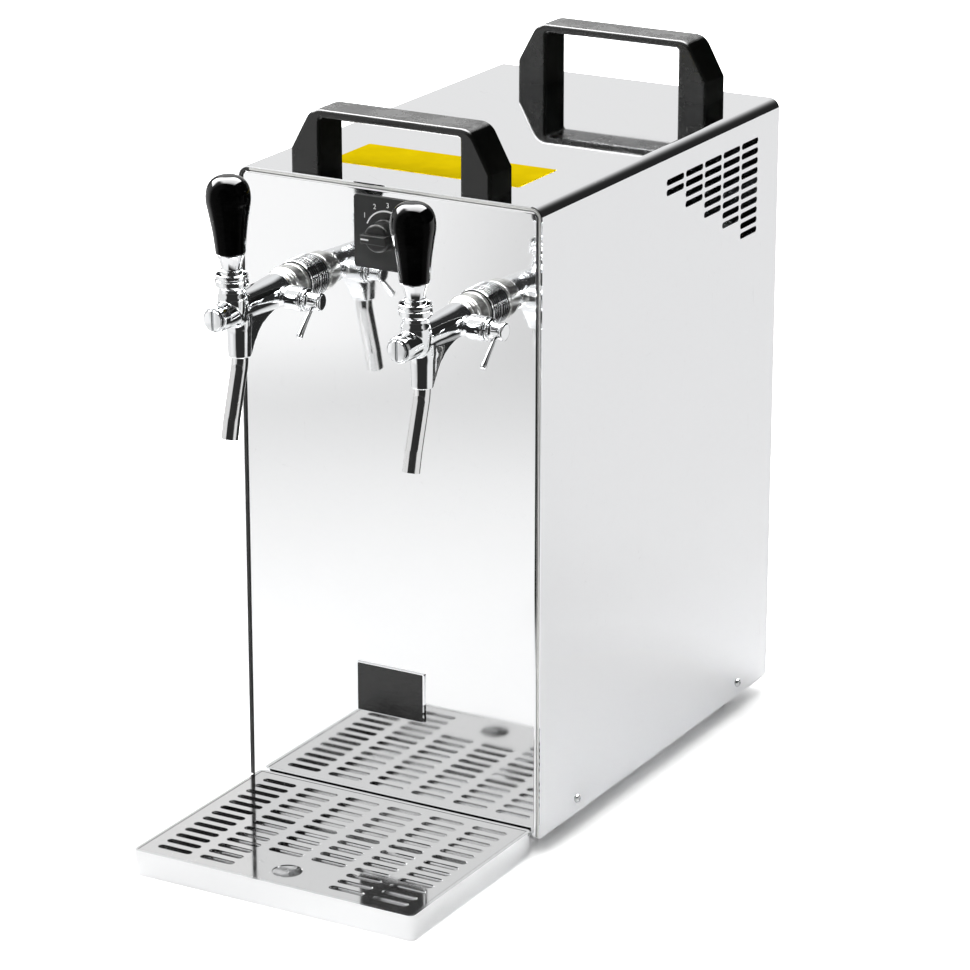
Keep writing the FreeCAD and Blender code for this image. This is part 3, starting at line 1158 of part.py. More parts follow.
def refrigerant_lines():
    """Discharge, liquid and suction lines, each one tube, and the drier on the liquid line."""
    bend, r = val("line_bend"), val("line_r")
    stub_z = "base_top + grommet_tall + plate_thick + compressor_tall + stub_tall"
    over = stub_z + " + line_rise"
    row = "condenser_tall / fin_tubes / 2"
    high, low_row = f"fan_z + condenser_tall / 2 - {row}", f"fan_z - condenser_tall / 2 + {row}"
    end_x = "condenser_width / 2 + tube_past"
    discharge = points(("stub_spread", "compressor_y", stub_z), ("stub_spread", "compressor_y", over),
                       ("line_side", "compressor_y", over),
                       ("line_side", "condenser_y", f"{over} + line_hop"),
                       ("line_side", "condenser_y", high), (end_x, "condenser_y", high))
    drier_low = f"{low_row} + line_hop"
    aside = "condenser_y - line_aside"
    liquid = points((f"-({end_x})", "condenser_y", low_row), ("-line_side", "condenser_y", low_row),
                    ("-line_side", aside, low_row), ("-line_side", aside, drier_low))
    lid = "low + over_tub + lid_gap"
    evaporator_y, evaporator_x = "tub_y + riser_back - evaporator_set", "evaporator_r"
    capillary = points(("-line_side", aside, f"{drier_low} + drier_long"), ("-line_side", aside, lid),
                       ("-line_side", "compressor_y - line_front", lid),
                       (evaporator_x, "compressor_y - line_front", lid),
                       (evaporator_x, evaporator_y, lid), (evaporator_x, evaporator_y, "low + over_tub"))
    back_run = "low + over_tub + suction_rise"
    suction = points((f"-({evaporator_x})", evaporator_y, "low + over_tub"),
                     (f"-({evaporator_x})", evaporator_y, back_run),
                     (f"-({evaporator_x})", "compressor_y - suction_front", back_run),
                     (f"-({evaporator_x})", "compressor_y - suction_front", over),
                     ("-stub_spread", "compressor_y", over), ("-stub_spread", "compressor_y", stub_z))
    drier = Part.makeCylinder(val("drier_r"), val("drier_long"),
                              V(-val("line_side"), val(aside), val(drier_low)))
    tubes = [pipe(rounded(discharge, bend), r), pipe(rounded(liquid, bend), r), drier,
             pipe(rounded(capillary, bend), val("capillary_r")), pipe(rounded(suction, bend), r)]
    node(solid(Part.makeCompound(tubes)), "refrigerant_lines")


def rear_fittings():
    """Push-in fittings: two for beer, one for air."""
    for label, (x, z) in zip(("left_beer_fitting", "right_beer_fitting", "air_fitting"), fitting_spots()):
        nose = rod("fitting_nose_r", (x, "back", z), "back_reach", "Y")
        flange = rod("fitting_flange_r", (x, "back", z), "fitting_flange", "Y")
        inside = rod("fitting_r", (x, "wall_in - fitting_in", z), "fitting_in + sheet + over", "Y")
        bore = rod("fitting_bore_r", (x, "back + back_reach - fitting_bore", z), "fitting_bore + over", "Y")
        passage = rod("tube_bore_r", (x, "wall_in - fitting_in - over", z),
                      "back_reach + fitting_in + sheet", "Y")
        node(cut(join([nose, flange, inside]), [bore, passage]), label)


def air_supply():
    """A diaphragm pump with its motor, and the hose to the air fitting."""
    y = ("front + pump_at", "front + pump_at + pump_deep")
    head = block(("-pump_width / 2", "pump_width / 2"), y, ("base_top", "base_top + pump_tall"))
    motor = rod("pump_motor_r",
                ("-pump_width / 4", "front + pump_at + pump_deep - over", "base_top + pump_motor_rise"),
                "pump_motor_long + over", "Y")
    nipple = rod("hose_r + sheet", ("pump_width / 3", y[1] + " - over", "low + air_rise"), "nipple", "Y")
    node(join([head, motor, nipple]), "air_pump")
    route = points(("pump_width / 3", y[1] + " - over + nipple", "low + air_rise"),
                   ("pump_width / 3", y[1] + " + hose_lead", "low + air_rise"),
                   ("air_x", "tub_y + tub_width / 2 + hose_past_tub", "low + air_rise"),
                   ("air_x", "wall_in - fitting_in", "low + air_rise"))
    node(solid(pipe(rounded(route, val("hose_bend")), val("hose_r"), val("hose_bore_r"))), "air_hose")


def power_inlet():
    x = ("-power_x - power_width / 2", "-power_x + power_width / 2")
    z = ("low + power_rise - power_tall / 2", "low + power_rise + power_tall / 2")
    flange = block(x, ("back", "back + power_flange"), z)
    case = block((x[0] + " + plate_margin", x[1] + " - plate_margin"),
                 ("wall_in - power_deep", "back + over"),
                 (z[0] + " + plate_margin", z[1] + " - plate_margin"))
    mid_z, deep = "low + power_rise", ("back + power_flange - socket_deep", "back + power_flange + over")
    socket = block(("-power_x - socket_width / 2", "-power_x + socket_width / 2"), deep,
                   (f"{mid_z} - socket_tall / 2", f"{mid_z} + socket_tall / 2"))
    node(cut(join([flange, case]), [socket]), "power_inlet")


def build():
    outer_shell()
    front_panel()
    edge_strips()
    back_panel()
    base_plate()
    feet()
    handle("front")
    handle("rear")
    handle_screws()
    side_screws()
    back_screws()
    plates()
    thermostat()
    thermostat_knob()
    drip_tray()
    drip_grille()
    for tap_x, side in (("left_tap", "left"), ("right_tap", "right")):
        tap(tap_x, side)
    lock_nuts()
    nose_screws()
    cooling()
    evaporator_coil()
    product_coil("left", -1, "left_tap", "left_coil_low", "left_coil_high")
    product_coil("right", 1, "right_tap", "right_coil_high", "right_coil_low")
    compressor()
    condenser()
    shroud()
    fan_blade()
    refrigerant_lines()
    rear_fittings()
    air_supply()
    power_inlet()


def check_and_write():
    doc.recompute()
    for obj in doc.Objects:
        if {"Invalid", "Error"} & set(obj.State):
            raise ValueError(f"{obj.Label} ({obj.Name}) failed: {obj.State}")
    for obj in pieces:
        if obj.Shape.isNull() or not obj.Shape.isValid() or not obj.Shape.Solids:
            raise ValueError(f"{obj.Label} is not a valid solid")
    os.makedirs("parts", exist_ok=True)
    for obj in pieces:
        obj.Shape.exportStep(f"parts/{obj.Label}.step")
        print(obj.Label, len(obj.Shape.Solids), round(obj.Shape.Volume, 1))
    print(len(pieces), "nodes")


build()
check_and_write()
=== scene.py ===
# Two-tap countertop beer cooler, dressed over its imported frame.
# Metres, +Z up, +X to the right seen from the front, -Y towards the drinker.
import json
import math
import bmesh
import bpy
from mathutils import Matrix, Vector


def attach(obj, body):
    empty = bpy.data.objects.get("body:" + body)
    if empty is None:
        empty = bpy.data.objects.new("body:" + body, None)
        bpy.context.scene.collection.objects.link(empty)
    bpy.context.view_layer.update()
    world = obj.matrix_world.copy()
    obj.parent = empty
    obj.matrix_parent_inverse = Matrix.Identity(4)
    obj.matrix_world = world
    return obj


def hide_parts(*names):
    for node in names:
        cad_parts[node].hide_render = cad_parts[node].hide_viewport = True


mm = 0.001
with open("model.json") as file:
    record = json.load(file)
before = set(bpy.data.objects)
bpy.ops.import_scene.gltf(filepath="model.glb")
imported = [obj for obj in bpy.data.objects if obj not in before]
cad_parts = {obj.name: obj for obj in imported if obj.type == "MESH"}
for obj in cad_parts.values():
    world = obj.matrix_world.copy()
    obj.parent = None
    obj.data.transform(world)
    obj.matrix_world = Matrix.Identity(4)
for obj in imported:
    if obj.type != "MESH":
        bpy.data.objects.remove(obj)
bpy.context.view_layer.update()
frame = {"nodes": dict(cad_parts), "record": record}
scene = bpy.context.scene
scene.view_settings.view_transform = "Standard"
print("frame loaded,", len(frame["nodes"]), "nodes")


# Camera

cameraSetup = {"target": (0.02696, -0.0195, 0.25368), "azimuth": 29.577, "elevation": 18.754,
               "distance": 3.1685, "lens": 150.5, "sensor": 36, "near": 0.1, "far": 60}


def aimed(azimuth, elevation):
    turn, rise = math.radians(azimuth), math.radians(elevation)
    return Vector((math.sin(turn) * math.cos(rise), -math.cos(turn) * math.cos(rise), math.sin(rise)))


def addCamera(setup):
    data = bpy.data.cameras.new("camera")
    data.lens, data.sensor_width = setup["lens"], setup["sensor"]
    data.clip_start, data.clip_end = setup["near"], setup["far"]
    camera = bpy.data.objects.new("camera", data)
    scene.collection.objects.link(camera)
    outward = aimed(setup["azimuth"], setup["elevation"])
    camera.location = Vector(setup["target"]) + outward * setup["distance"]
    camera.rotation_mode = "QUATERNION"
    camera.rotation_quaternion = outward.to_track_quat("Z", "Y")
    scene.camera = camera


addCamera(cameraSetup)
print("camera placed")


# Shader helpers

def addNode(tree, kind, sockets=None, **settings):
    node = tree.nodes.new("ShaderNode" + kind)
    for name, value in settings.items():
        setattr(node, name, value)
    for name, value in (sockets or {}).items():
        if isinstance(value, bpy.types.NodeSocket):
            tree.links.new(value, node.inputs[name])
        else:
            node.inputs[name].default_value = value
    return node


def newGroup(name, inputs, outputs):
    group = bpy.data.node_groups.new(name, "ShaderNodeTree")
    for label, kind, start in inputs:
        socket = group.interface.new_socket(label, in_out="INPUT", socket_type="NodeSocket" + kind)
        socket.default_value = start
    for label, kind in outputs:
        group.interface.new_socket(label, in_out="OUTPUT", socket_type="NodeSocket" + kind)
    return group, group.nodes.new("NodeGroupInput"), group.nodes.new("NodeGroupOutput")


def useGroup(tree, group, sockets):
    return addNode(tree, "Group", sockets, node_tree=group)


def product(tree, first, second):
    return addNode(tree, "Math", {0: first, 1: second}, operation="MULTIPLY").outputs[0]


def larger(tree, first, second):
    return addNode(tree, "Math", {0: first, 1: second}, operation="MAXIMUM").outputs[0]


def scaled(tree, vector, factors):
    return addNode(tree, "VectorMath", {0: vector, 1: factors}, operation="MULTIPLY").outputs[0]


def dot(tree, first, second):
    return addNode(tree, "VectorMath", {0: first, 1: second}, operation="DOT_PRODUCT").outputs["Value"]


def between(tree, mask, low, high):    # low where the mask is 0, high where it is 1
    return addNode(tree, "MapRange", {"Value": mask, "To Min": low, "To Max": high}).outputs["Result"]


def ramp(tree, value, start, end, low=0.0, high=1.0):
    step = addNode(tree, "MapRange", {"Value": value, "From Min": start, "From Max": end, "To Min": low,
                                      "To Max": high}, interpolation_type="SMOOTHSTEP")
    return step.outputs["Result"]


def mixed(tree, mask, plain, marked):
    return addNode(tree, "Mix", {0: mask, 6: plain, 7: marked}, data_type="RGBA").outputs[2]


def grey(tree, tone):
    return addNode(tree, "CombineColor", {0: tone, 1: tone, 2: tone}).outputs[0]


def newMaterial(name, colour, roughness, metallic=0.0):
    material = bpy.data.materials.new(name)
    material.use_nodes = True
    tree = material.node_tree
    shader = tree.nodes["Principled BSDF"]
    shader.inputs["Base Color"].default_value = (*colour, 1)
    shader.inputs["Roughness"].default_value = roughness
    shader.inputs["Metallic"].default_value = metallic
    return material, tree, shader


def objectPoint(tree):
    return addNode(tree, "TexCoord").outputs["Object"]


def cosine(degrees):
    return math.cos(math.radians(degrees))


def sine(degrees):
    return math.sin(math.radians(degrees))


def buildSector():    # 1 where a direction lies near a heading, seen from above
    group, given, out = newGroup(
        "Sector", [("Direction", "Vector", (0, 0, 0)), ("Heading", "Vector", (0, -1, 0)),
                   ("Outer", "Float", 0.0), ("Inner", "Float", 1.0)], [("Mask", "Float")])
    flat = scaled(group, given.outputs["Direction"], (1, 1, 0))
    unit = addNode(group, "VectorMath", {0: flat}, operation="NORMALIZE").outputs[0]
    near = dot(group, unit, given.outputs["Heading"])
    group.links.new(ramp(group, near, given.outputs["Outer"], given.outputs["Inner"]), out.inputs["Mask"])
    return group


def buildHandlingMarks():    # broad smears of a cloth, told as roughness and as a mask
    group, given, out = newGroup(
        "Handling marks", [("Point", "Vector", (0, 0, 0)), ("Scale", "Float", 12.0),
                           ("Low", "Float", 0.05), ("High", "Float", 0.1)],
        [("Roughness", "Float"), ("Mask", "Float")])
    broad = addNode(group, "TexNoise", {"Vector": given.outputs["Point"], "Scale": given.outputs["Scale"],
                                        "Detail": 3.0, "Roughness": 0.55, "Distortion": 0.6})
    fine = addNode(group, "TexNoise", {"Vector": scaled(group, given.outputs["Point"], (3, 3, 11)),
                                       "Scale": given.outputs["Scale"], "Detail": 4.0, "Roughness": 0.6})
    mask = ramp(group, product(group, broad.outputs["Fac"], fine.outputs["Fac"]), 0.16, 0.40)
    group.links.new(mask, out.inputs["Mask"])
    rough = between(group, mask, given.outputs["Low"], given.outputs["High"])
    group.links.new(rough, out.inputs["Roughness"])
    return group


def buildRolledGrain():    # fine parallel lines, long along the axis with the smallest stretch
    group, given, out = newGroup(
        "Rolled grain", [("Point", "Vector", (0, 0, 0)), ("Stretch", "Vector", (1, 1, 1))],
        [("Height", "Float")])
    drawn = scaled(group, given.outputs["Point"], given.outputs["Stretch"])
    lines = addNode(group, "TexNoise", {"Vector": drawn, "Scale": 1.0, "Detail": 3.0, "Roughness": 0.65})
    group.links.new(lines.outputs["Fac"], out.inputs["Height"])
    return group


def buildHairlines():    # sparse thin scratches, as a mask
    group, given, out = newGroup(
        "Hairlines", [("Point", "Vector", (0, 0, 0)), ("Scale", "Float", 20.0), ("Width", "Float", 0.004)],
        [("Mask", "Float")])
    total = 0.0
    for turn, stretch in ((0.5, (1, 14, 14)), (-0.9, (12, 1, 12)), (1.3, (14, 14, 1))):
        askew = addNode(group, "VectorRotate", {"Vector": given.outputs["Point"], "Angle": turn})
        noise = addNode(group, "TexNoise", {"Vector": scaled(group, askew.outputs[0], stretch),
                                            "Scale": given.outputs["Scale"], "Detail": 0.0})
        away = addNode(group, "Math", {0: noise.outputs["Fac"], 1: 0.62}, operation="SUBTRACT")
        size = addNode(group, "Math", {0: away.outputs[0]}, operation="ABSOLUTE")
        line = addNode(group, "MapRange", {"Value": size.outputs[0], "From Max": given.outputs["Width"],
                                           "To Min": 1.0, "To Max": 0.0})
        total = larger(group, total, line.outputs["Result"])
    group.links.new(total, out.inputs["Mask"])
    return group


def buildMouldSkin():    # the fine spark-eroded texture of moulded plastic or rubber
    group, given, out = newGroup(
        "Mould skin", [("Point", "Vector", (0, 0, 0)), ("Scale", "Float", 1800.0)],
        [("Height", "Float"), ("Mask", "Float")])
    cells = addNode(group, "TexVoronoi", {"Vector": given.outputs["Point"], "Scale": given.outputs["Scale"],
                                          "Smoothness": 0.6}, feature="SMOOTH_F1")
    cloud = addNode(group, "TexNoise", {"Vector": given.outputs["Point"], "Scale": 45.0, "Detail": 4.0,
                                        "Roughness": 0.6})
    group.links.new(cells.outputs["Distance"], out.inputs["Height"])
    group.links.new(ramp(group, cloud.outputs["Fac"], 0.35, 0.65), out.inputs["Mask"])
    return group


def buildEdgeRub():    # 1 along edges, where hands and cloths polish the surface
    group, given, out = newGroup("Edge rub", [("Reach", "Float", 0.0012), ("Point", "Vector", (0, 0, 0))],
                                 [("Mask", "Float")])
    bent = addNode(group, "Bevel", {"Radius": given.outputs["Reach"]}, samples=4).outputs[0]
    match = dot(group, bent, addNode(group, "NewGeometry").outputs["Normal"])
    edge = addNode(group, "MapRange", {"Value": match, "From Min": 0.985, "From Max": 0.85})
    cloud = addNode(group, "TexNoise", {"Vector": given.outputs["Point"], "Scale": 90.0, "Detail": 3.0})
    patchy = product(group, edge.outputs["Result"], cloud.outputs["Fac"])
    group.links.new(patchy, out.inputs["Mask"])
    return group


sector, handlingMarks, rolledGrain = buildSector(), buildHandlingMarks(), buildRolledGrain()
hairlines, mouldSkin, edgeRub = buildHairlines(), buildMouldSkin(), buildEdgeRub()
print("shader groups built")


# Studio

studio = {
    "sky": 0.96, "sun": 0.95, "sunAngle": 60, "sunTowards": (-0.42, -0.12, 0.9),
    "wallTone": 0.86, "ceilingTone": 0.03, "ceilingStarts": 38, "ceilingFull": 44,
    "gapLow": -7, "gapHigh": 0, "slitTop": 9, "slitEnd": 13, "boxLow": 0.02, "boxHigh": 0.04,
    "floorTone": 0.98, "floorSeen": 3.1, "floorReach": 14, "floorSteps": 64, "bandTone": 0.99,
}
sectors = {    # degrees: heading, half width and soft edge
    "gap": (33, 42, 10), "slit": (34, 50, 8), "shade": (140, 14, 44), "corner": (240, 12, 8),
    "front": (342, 32, 16), "close": (75, 62, 25), "paintedGreyBand": (350, 5, 30), "gleam": (318, 8, 12),
    "dark": (33, 34, 14), "side": (112, 50, 45), "right": (112, 48, 40),
}
# side is painted shade on the floor paper, darker towards the right in the light it bounces; the others tone
# the studio's light
sectorTones = {"shade": 0.02, "corner": 0.28, "right": 0.06, "side": 0.12}
floorZones = {    # painted light and painted shade on the floor, seen only in reflections: metres from the middle where a zone starts and where it is full, and its tone
    "front": (1.2, 0.5, 1.2), "close": (0.62, 0.1, 1.42), "paintedGreyBand": (0.9, 1.4, 0.82),
    "gleam": (1.15, 1.5, 1.18), "dark": (0.52, 0.72, 0.03),
}
softBoxes = [    # panels of light overhead, their middles and halves in heights of the ceiling
    {"middle": (-0.82, 0.46), "turn": 12.4, "half": (1.3, 0.73), "soft": 0.05, "tone": 20},
    {"middle": (-0.75, -0.82), "turn": 42, "half": (0.78, 0.72), "soft": 0.18, "tone": 0.95},
]


def heading(degrees):
    turn = math.radians(degrees)
    return (math.sin(turn), -math.cos(turn), 0)


def inSector(tree, direction, name):
    middle, half, soft = sectors[name]
    return useGroup(tree, sector, {"Direction": direction, "Heading": heading(middle),
                                   "Outer": cosine(half + soft), "Inner": cosine(half)}).outputs["Mask"]


def insideBox(tree, ray, rise, setup, box):
    turn = math.radians(box["turn"])
    inside = ramp(tree, rise, setup["boxLow"], setup["boxHigh"])
    axes = (math.cos(turn), math.sin(turn)), (-math.sin(turn), math.cos(turn))
    for along, half in zip(axes, box["half"]):
        start = -sum(part * middle for part, middle in zip(along, box["middle"]))
        slope = addNode(tree, "Math", {0: dot(tree, ray, (*along, start)), 1: rise}, operation="DIVIDE")
        size = addNode(tree, "Math", {0: slope.outputs[0]}, operation="ABSOLUTE").outputs[0]
        inside = product(tree, inside, ramp(tree, size, half + box["soft"], half - box["soft"]))
    return inside


def addWorld(setup, boxes):    # an even sky for the light, and a dark-ceilinged studio for what shines
    world = bpy.data.worlds.new("studio")
    world.use_nodes = True
    scene.world = world
    tree = world.node_tree
    shine = tree.nodes["Background"]
    ray = addNode(tree, "TexCoord").outputs["Generated"]
    rise = addNode(tree, "SeparateXYZ", {0: ray}).outputs["Z"]
    ceiling = ramp(tree, rise, sine(setup["ceilingStarts"]), sine(setup["ceilingFull"]))
    above = ramp(tree, rise, sine(setup["gapLow"]), sine(setup["gapHigh"]))
    gap = product(tree, inSector(tree, ray, "gap"), above)
    below = ramp(tree, rise, sine(setup["slitEnd"]), sine(setup["slitTop"]))
    slit = product(tree, product(tree, inSector(tree, ray, "slit"), above), below)
    wall = setup["wallTone"]
    for name in ("shade", "corner"):
        wall = between(tree, inSector(tree, ray, name), wall, sectorTones[name])
    tone = between(tree, larger(tree, ceiling, larger(tree, gap, slit)), wall, setup["ceilingTone"])
    for box in boxes:
        tone = between(tree, insideBox(tree, ray, rise, setup, box), tone, box["tone"])
    tree.links.new(tone, shine.inputs["Strength"])
    shine.inputs["Color"].default_value = (1, 1, 1, 1)
    even = between(tree, inSector(tree, ray, "right"), setup["sky"], sectorTones["right"])
    sky = addNode(tree, "Background", {"Color": (1, 1, 1, 1), "Strength": even})
    white = addNode(tree, "Background", {"Color": (1, 1, 1, 1), "Strength": 1.0})
    path = addNode(tree, "LightPath")
    shiny = larger(tree, path.outputs["Is Glossy Ray"], path.outputs["Is Transmission Ray"])
    lit = addNode(tree, "MixShader", {0: shiny, 1: sky.outputs[0], 2: shine.outputs[0]})
    seen = addNode(tree, "MixShader", {0: path.outputs["Is Camera Ray"], 1: lit.outputs[0],
                                       2: white.outputs[0]})
    tree.links.new(seen.outputs[0], tree.nodes["World Output"].inputs["Surface"])


def addSun(setup):
    data = bpy.data.lights.new("overhead", "SUN")
    data.energy, data.angle = setup["sun"], math.radians(setup["sunAngle"])
    sun = bpy.data.objects.new("overhead", data)
    sun.rotation_mode = "QUATERNION"
    sun.rotation_quaternion = Vector(setup["sunTowards"]).to_track_quat("Z", "Y")
    sun.visible_glossy = False
    scene.collection.objects.link(sun)


def addFloor(setup):    # white paper, with zones of painted light and painted shade that only reflections see, and painted shade on its right in the light it bounces
    bm = bmesh.new()
    bmesh.ops.create_circle(bm, cap_ends=True, segments=setup["floorSteps"], radius=setup["floorReach"])
    mesh = bpy.data.meshes.new("floor")
    bm.to_mesh(mesh)
    bm.free()
    floor = bpy.data.objects.new("floor", mesh)
    scene.collection.objects.link(floor)
    material = bpy.data.materials.new("floor paper")
    material.use_nodes = True
    tree = material.node_tree
    point = objectPoint(tree)
    reach = addNode(tree, "VectorMath", {0: point}, operation="LENGTH").outputs["Value"]
    tone = setup["bandTone"]
    # zones of painted light and painted shade, for glossy rays only
    for name, (starts, full, zoneTone) in floorZones.items():
        zone = product(tree, inSector(tree, point, name), ramp(tree, reach, starts, full))
        tone = between(tree, zone, tone, zoneTone)
    path = addNode(tree, "LightPath")
    # painted shade: the paper is darker towards the right in the light it bounces
    matt = ramp(tree, inSector(tree, point, "side"), 0.0, 1.0, setup["floorTone"], sectorTones["side"])
    # glossy rays see the painted zones, other rays the plain paper with its painted shade
    colour = mixed(tree, path.outputs["Is Glossy Ray"], grey(tree, matt), grey(tree, tone))
    bright = mixed(tree, path.outputs["Is Camera Ray"], colour, (*[setup["floorSeen"]] * 3, 1))
    paper = addNode(tree, "BsdfDiffuse", {"Color": bright})
    tree.links.new(paper.outputs[0], tree.nodes["Material Output"].inputs["Surface"])
    mesh.materials.append(material)


addWorld(studio, softBoxes)
addSun(studio)
addFloor(studio)
print("studio lit")


# Finishes

def addBump(tree, shader, height, strength, distance):
    bump = addNode(tree, "Bump", {"Height": height, "Strength": strength, "Distance": distance})
    tree.links.new(bump.outputs["Normal"], shader.inputs["Normal"])


def tint(tree, shader, mask, plain, marked):
    tree.links.new(mixed(tree, mask, (*plain, 1), (*marked, 1)), shader.inputs["Base Color"])


def wiped(tree, shader, scale, low, high):    # smears told as roughness, with their mask handed back
    smears = useGroup(tree, handlingMarks, {"Point": objectPoint(tree), "Scale": scale, "Low": low,
                                            "High": high})
    tree.links.new(smears.outputs["Roughness"], shader.inputs["Roughness"])
    return smears.outputs["Mask"]


def grained(tree, shader, stretch, strength, distance=0.00004):
    lines = useGroup(tree, rolledGrain, {"Point": objectPoint(tree), "Stretch": stretch})
    addBump(tree, shader, lines.outputs["Height"], strength, distance)


def sheetSteel(name, colour, low, high, stretch, grain, marks):
    material, tree, shader = newMaterial(name, colour, low, 1)
    wiped(tree, shader, marks, low, high)
    grained(tree, shader, stretch, grain)
    scratches = useGroup(tree, hairlines, {"Point": objectPoint(tree), "Scale": 9.0, "Width": 0.0016})
    tint(tree, shader, scratches.outputs["Mask"], colour, tuple(0.9 * part for part in colour))
    return material


def mirrorSteel():    # polished sheet, with the faint haze that wiping leaves
    return sheetSteel("mirror steel", (0.90, 0.905, 0.91), 0.035, 0.075, (30, 30, 30), 0.03, 7.0)


def shellSteel():
    return sheetSteel("shell steel", (0.86, 0.865, 0.875), 0.02, 0.045, (500, 14, 500), 0.10, 6.0)


def traySteel():
    return sheetSteel("tray steel", (0.85, 0.855, 0.86), 0.07, 0.14, (14, 500, 500), 0.12, 14.0)


def grilleSteel():
    return sheetSteel("grille steel", (0.80, 0.80, 0.80), 0.05, 0.11, (12, 600, 600), 0.16, 16.0)


def millSteel():
    return sheetSteel("mill steel", (0.62, 0.625, 0.63), 0.24, 0.38, (12, 500, 500), 0.30, 20.0)


def zincSteel():
    material, tree, shader = newMaterial("zinc plate", (0.62, 0.64, 0.66), 0.3, 1)
    spangle = addNode(tree, "TexVoronoi", {"Vector": objectPoint(tree), "Scale": 240.0})
    tint(tree, shader, spangle.outputs["Distance"], (0.66, 0.67, 0.69), (0.52, 0.56, 0.62))
    wiped(tree, shader, 30.0, 0.24, 0.42)
    return material


def chromePlate():
    material, tree, shader = newMaterial("chrome plate", (0.88, 0.89, 0.90), 0.03, 1)
    wiped(tree, shader, 60.0, 0.02, 0.06)
    wave = addNode(tree, "TexNoise", {"Vector": objectPoint(tree), "Scale": 170.0, "Detail": 1.0})
    addBump(tree, shader, wave.outputs["Fac"], 0.12, 0.00012)
    return material


def satinNickel():    # turned rings and nuts, duller than the castings
    material, tree, shader = newMaterial("satin nickel", (0.74, 0.74, 0.72), 0.35, 1)
    wiped(tree, shader, 80.0, 0.28, 0.4)
    grained(tree, shader, (60, 5000, 60), 0.12)
    return material


def spoutSteel():
    return sheetSteel("spout steel", (0.80, 0.80, 0.80), 0.05, 0.12, (700, 700, 20), 0.08, 40.0)


def bareBrass():
    material, tree, shader = newMaterial("bare brass", (0.78, 0.58, 0.28), 0.28, 1)
    tint(tree, shader, wiped(tree, shader, 50.0, 0.2, 0.42), (0.80, 0.61, 0.30), (0.62, 0.43, 0.19))
    return material


def castAluminium():
    material, tree, shader = newMaterial("cast aluminium", (0.66, 0.67, 0.68), 0.45, 1)
    skin = useGroup(tree, mouldSkin, {"Point": objectPoint(tree), "Scale": 700.0})
    tint(tree, shader, skin.outputs["Mask"], (0.68, 0.69, 0.70), (0.56, 0.57, 0.58))
    addBump(tree, shader, skin.outputs["Height"], 0.5, 0.0003)
    return material


def finAluminium():
    return sheetSteel("fin aluminium", (0.74, 0.75, 0.76), 0.25, 0.4, (300, 300, 20), 0.2, 25.0)


def drawnCopper():
    material, tree, shader = newMaterial("drawn copper", (0.78, 0.42, 0.27), 0.22, 1)
    tint(tree, shader, wiped(tree, shader, 30.0, 0.16, 0.4), (0.80, 0.45, 0.30), (0.52, 0.26, 0.16))
    return material


def moulded(name, plain, marked, roughness, skinScale, skinDepth, rubbed=None):
    material, tree, shader = newMaterial(name, plain, roughness)
    point = objectPoint(tree)
    skin = useGroup(tree, mouldSkin, {"Point": point, "Scale": skinScale})
    addBump(tree, shader, skin.outputs["Height"], 0.35, skinDepth)
    mask = skin.outputs["Mask"]
    colour = mixed(tree, mask, (*plain, 1), (*marked, 1))
    if rubbed:
        rub = useGroup(tree, edgeRub, {"Point": point})
        colour = mixed(tree, rub.outputs["Mask"], colour, (*rubbed, 1))
    tree.links.new(colour, shader.inputs["Base Color"])
    tree.links.new(between(tree, mask, roughness - 0.05, roughness + 0.06), shader.inputs["Roughness"])
    return material


def shaded(material, side, starts, full, shine, least):    # painted shade: less shine on the faces that turn to one side, so they render darker
    tree = material.node_tree
    facing = dot(tree, addNode(tree, "TexCoord").outputs["Normal"], side)
    tree.links.new(ramp(tree, facing, starts, full, shine, least),
                   tree.nodes["Principled BSDF"].inputs["Specular IOR Level"])
    return material


def handlePlastic():
    material = moulded("handle plastic", (0.006, 0.0063, 0.0058), (0.0075, 0.0078, 0.0072), 0.24, 1500,
                       0.00002, (0.014, 0.014, 0.014))
    # painted shade: faces turned to +X lose their shine and render black
    return shaded(material, (1, 0, 0), starts=0.25, full=0.6, shine=0.5, least=0.0)


def blackPlastic():
    return moulded("black plastic", (0.008, 0.0085, 0.008), (0.012, 0.0125, 0.012), 0.42, 1900, 0.00005,
                   (0.04, 0.04, 0.04))


def greyPlastic():
    return moulded("grey plastic", (0.25, 0.26, 0.27), (0.21, 0.22, 0.23), 0.5, 1500, 0.00006)


def mouldedRubber():
    return moulded("moulded rubber", (0.024, 0.024, 0.024), (0.04, 0.039, 0.038), 0.72, 1100, 0.0001)


def greyFoam():
    return moulded("closed foam", (0.12, 0.12, 0.13), (0.09, 0.09, 0.10), 0.9, 420, 0.0009)


def blackEnamel():
    return moulded("black enamel", (0.016, 0.016, 0.017), (0.02, 0.02, 0.021), 0.28, 260, 0.0002)


def knobGloss():
    material, tree, shader = newMaterial("knob gloss", (0.004, 0.004, 0.004), 0.05)
    tint(tree, shader, wiped(tree, shader, 55.0, 0.02, 0.06), (0.001, 0.001, 0.001), (0.003, 0.003, 0.003))
    # painted shade and painted highlight: faces turned to the front right lose their shine and render black,
    # the dome and flanks keep it
    return shaded(material, (0.49, -0.87, 0.0), starts=0.55, full=0.72, shine=0.35, least=0.02)


# painted shade: the black finish for the groove floors of the rib ring
def grooveShadeBlack():
    return moulded("groove shade black", (0.010, 0.010, 0.010), (0.016, 0.016, 0.016), 0.16, 1200, 0.00003)


def badgeGloss():
    material, tree, shader = newMaterial("badge gloss", (0.006, 0.006, 0.006), 0.16)
    tint(tree, shader, wiped(tree, shader, 50.0, 0.12, 0.22), (0.006, 0.006, 0.006), (0.012, 0.012, 0.012))
    return material


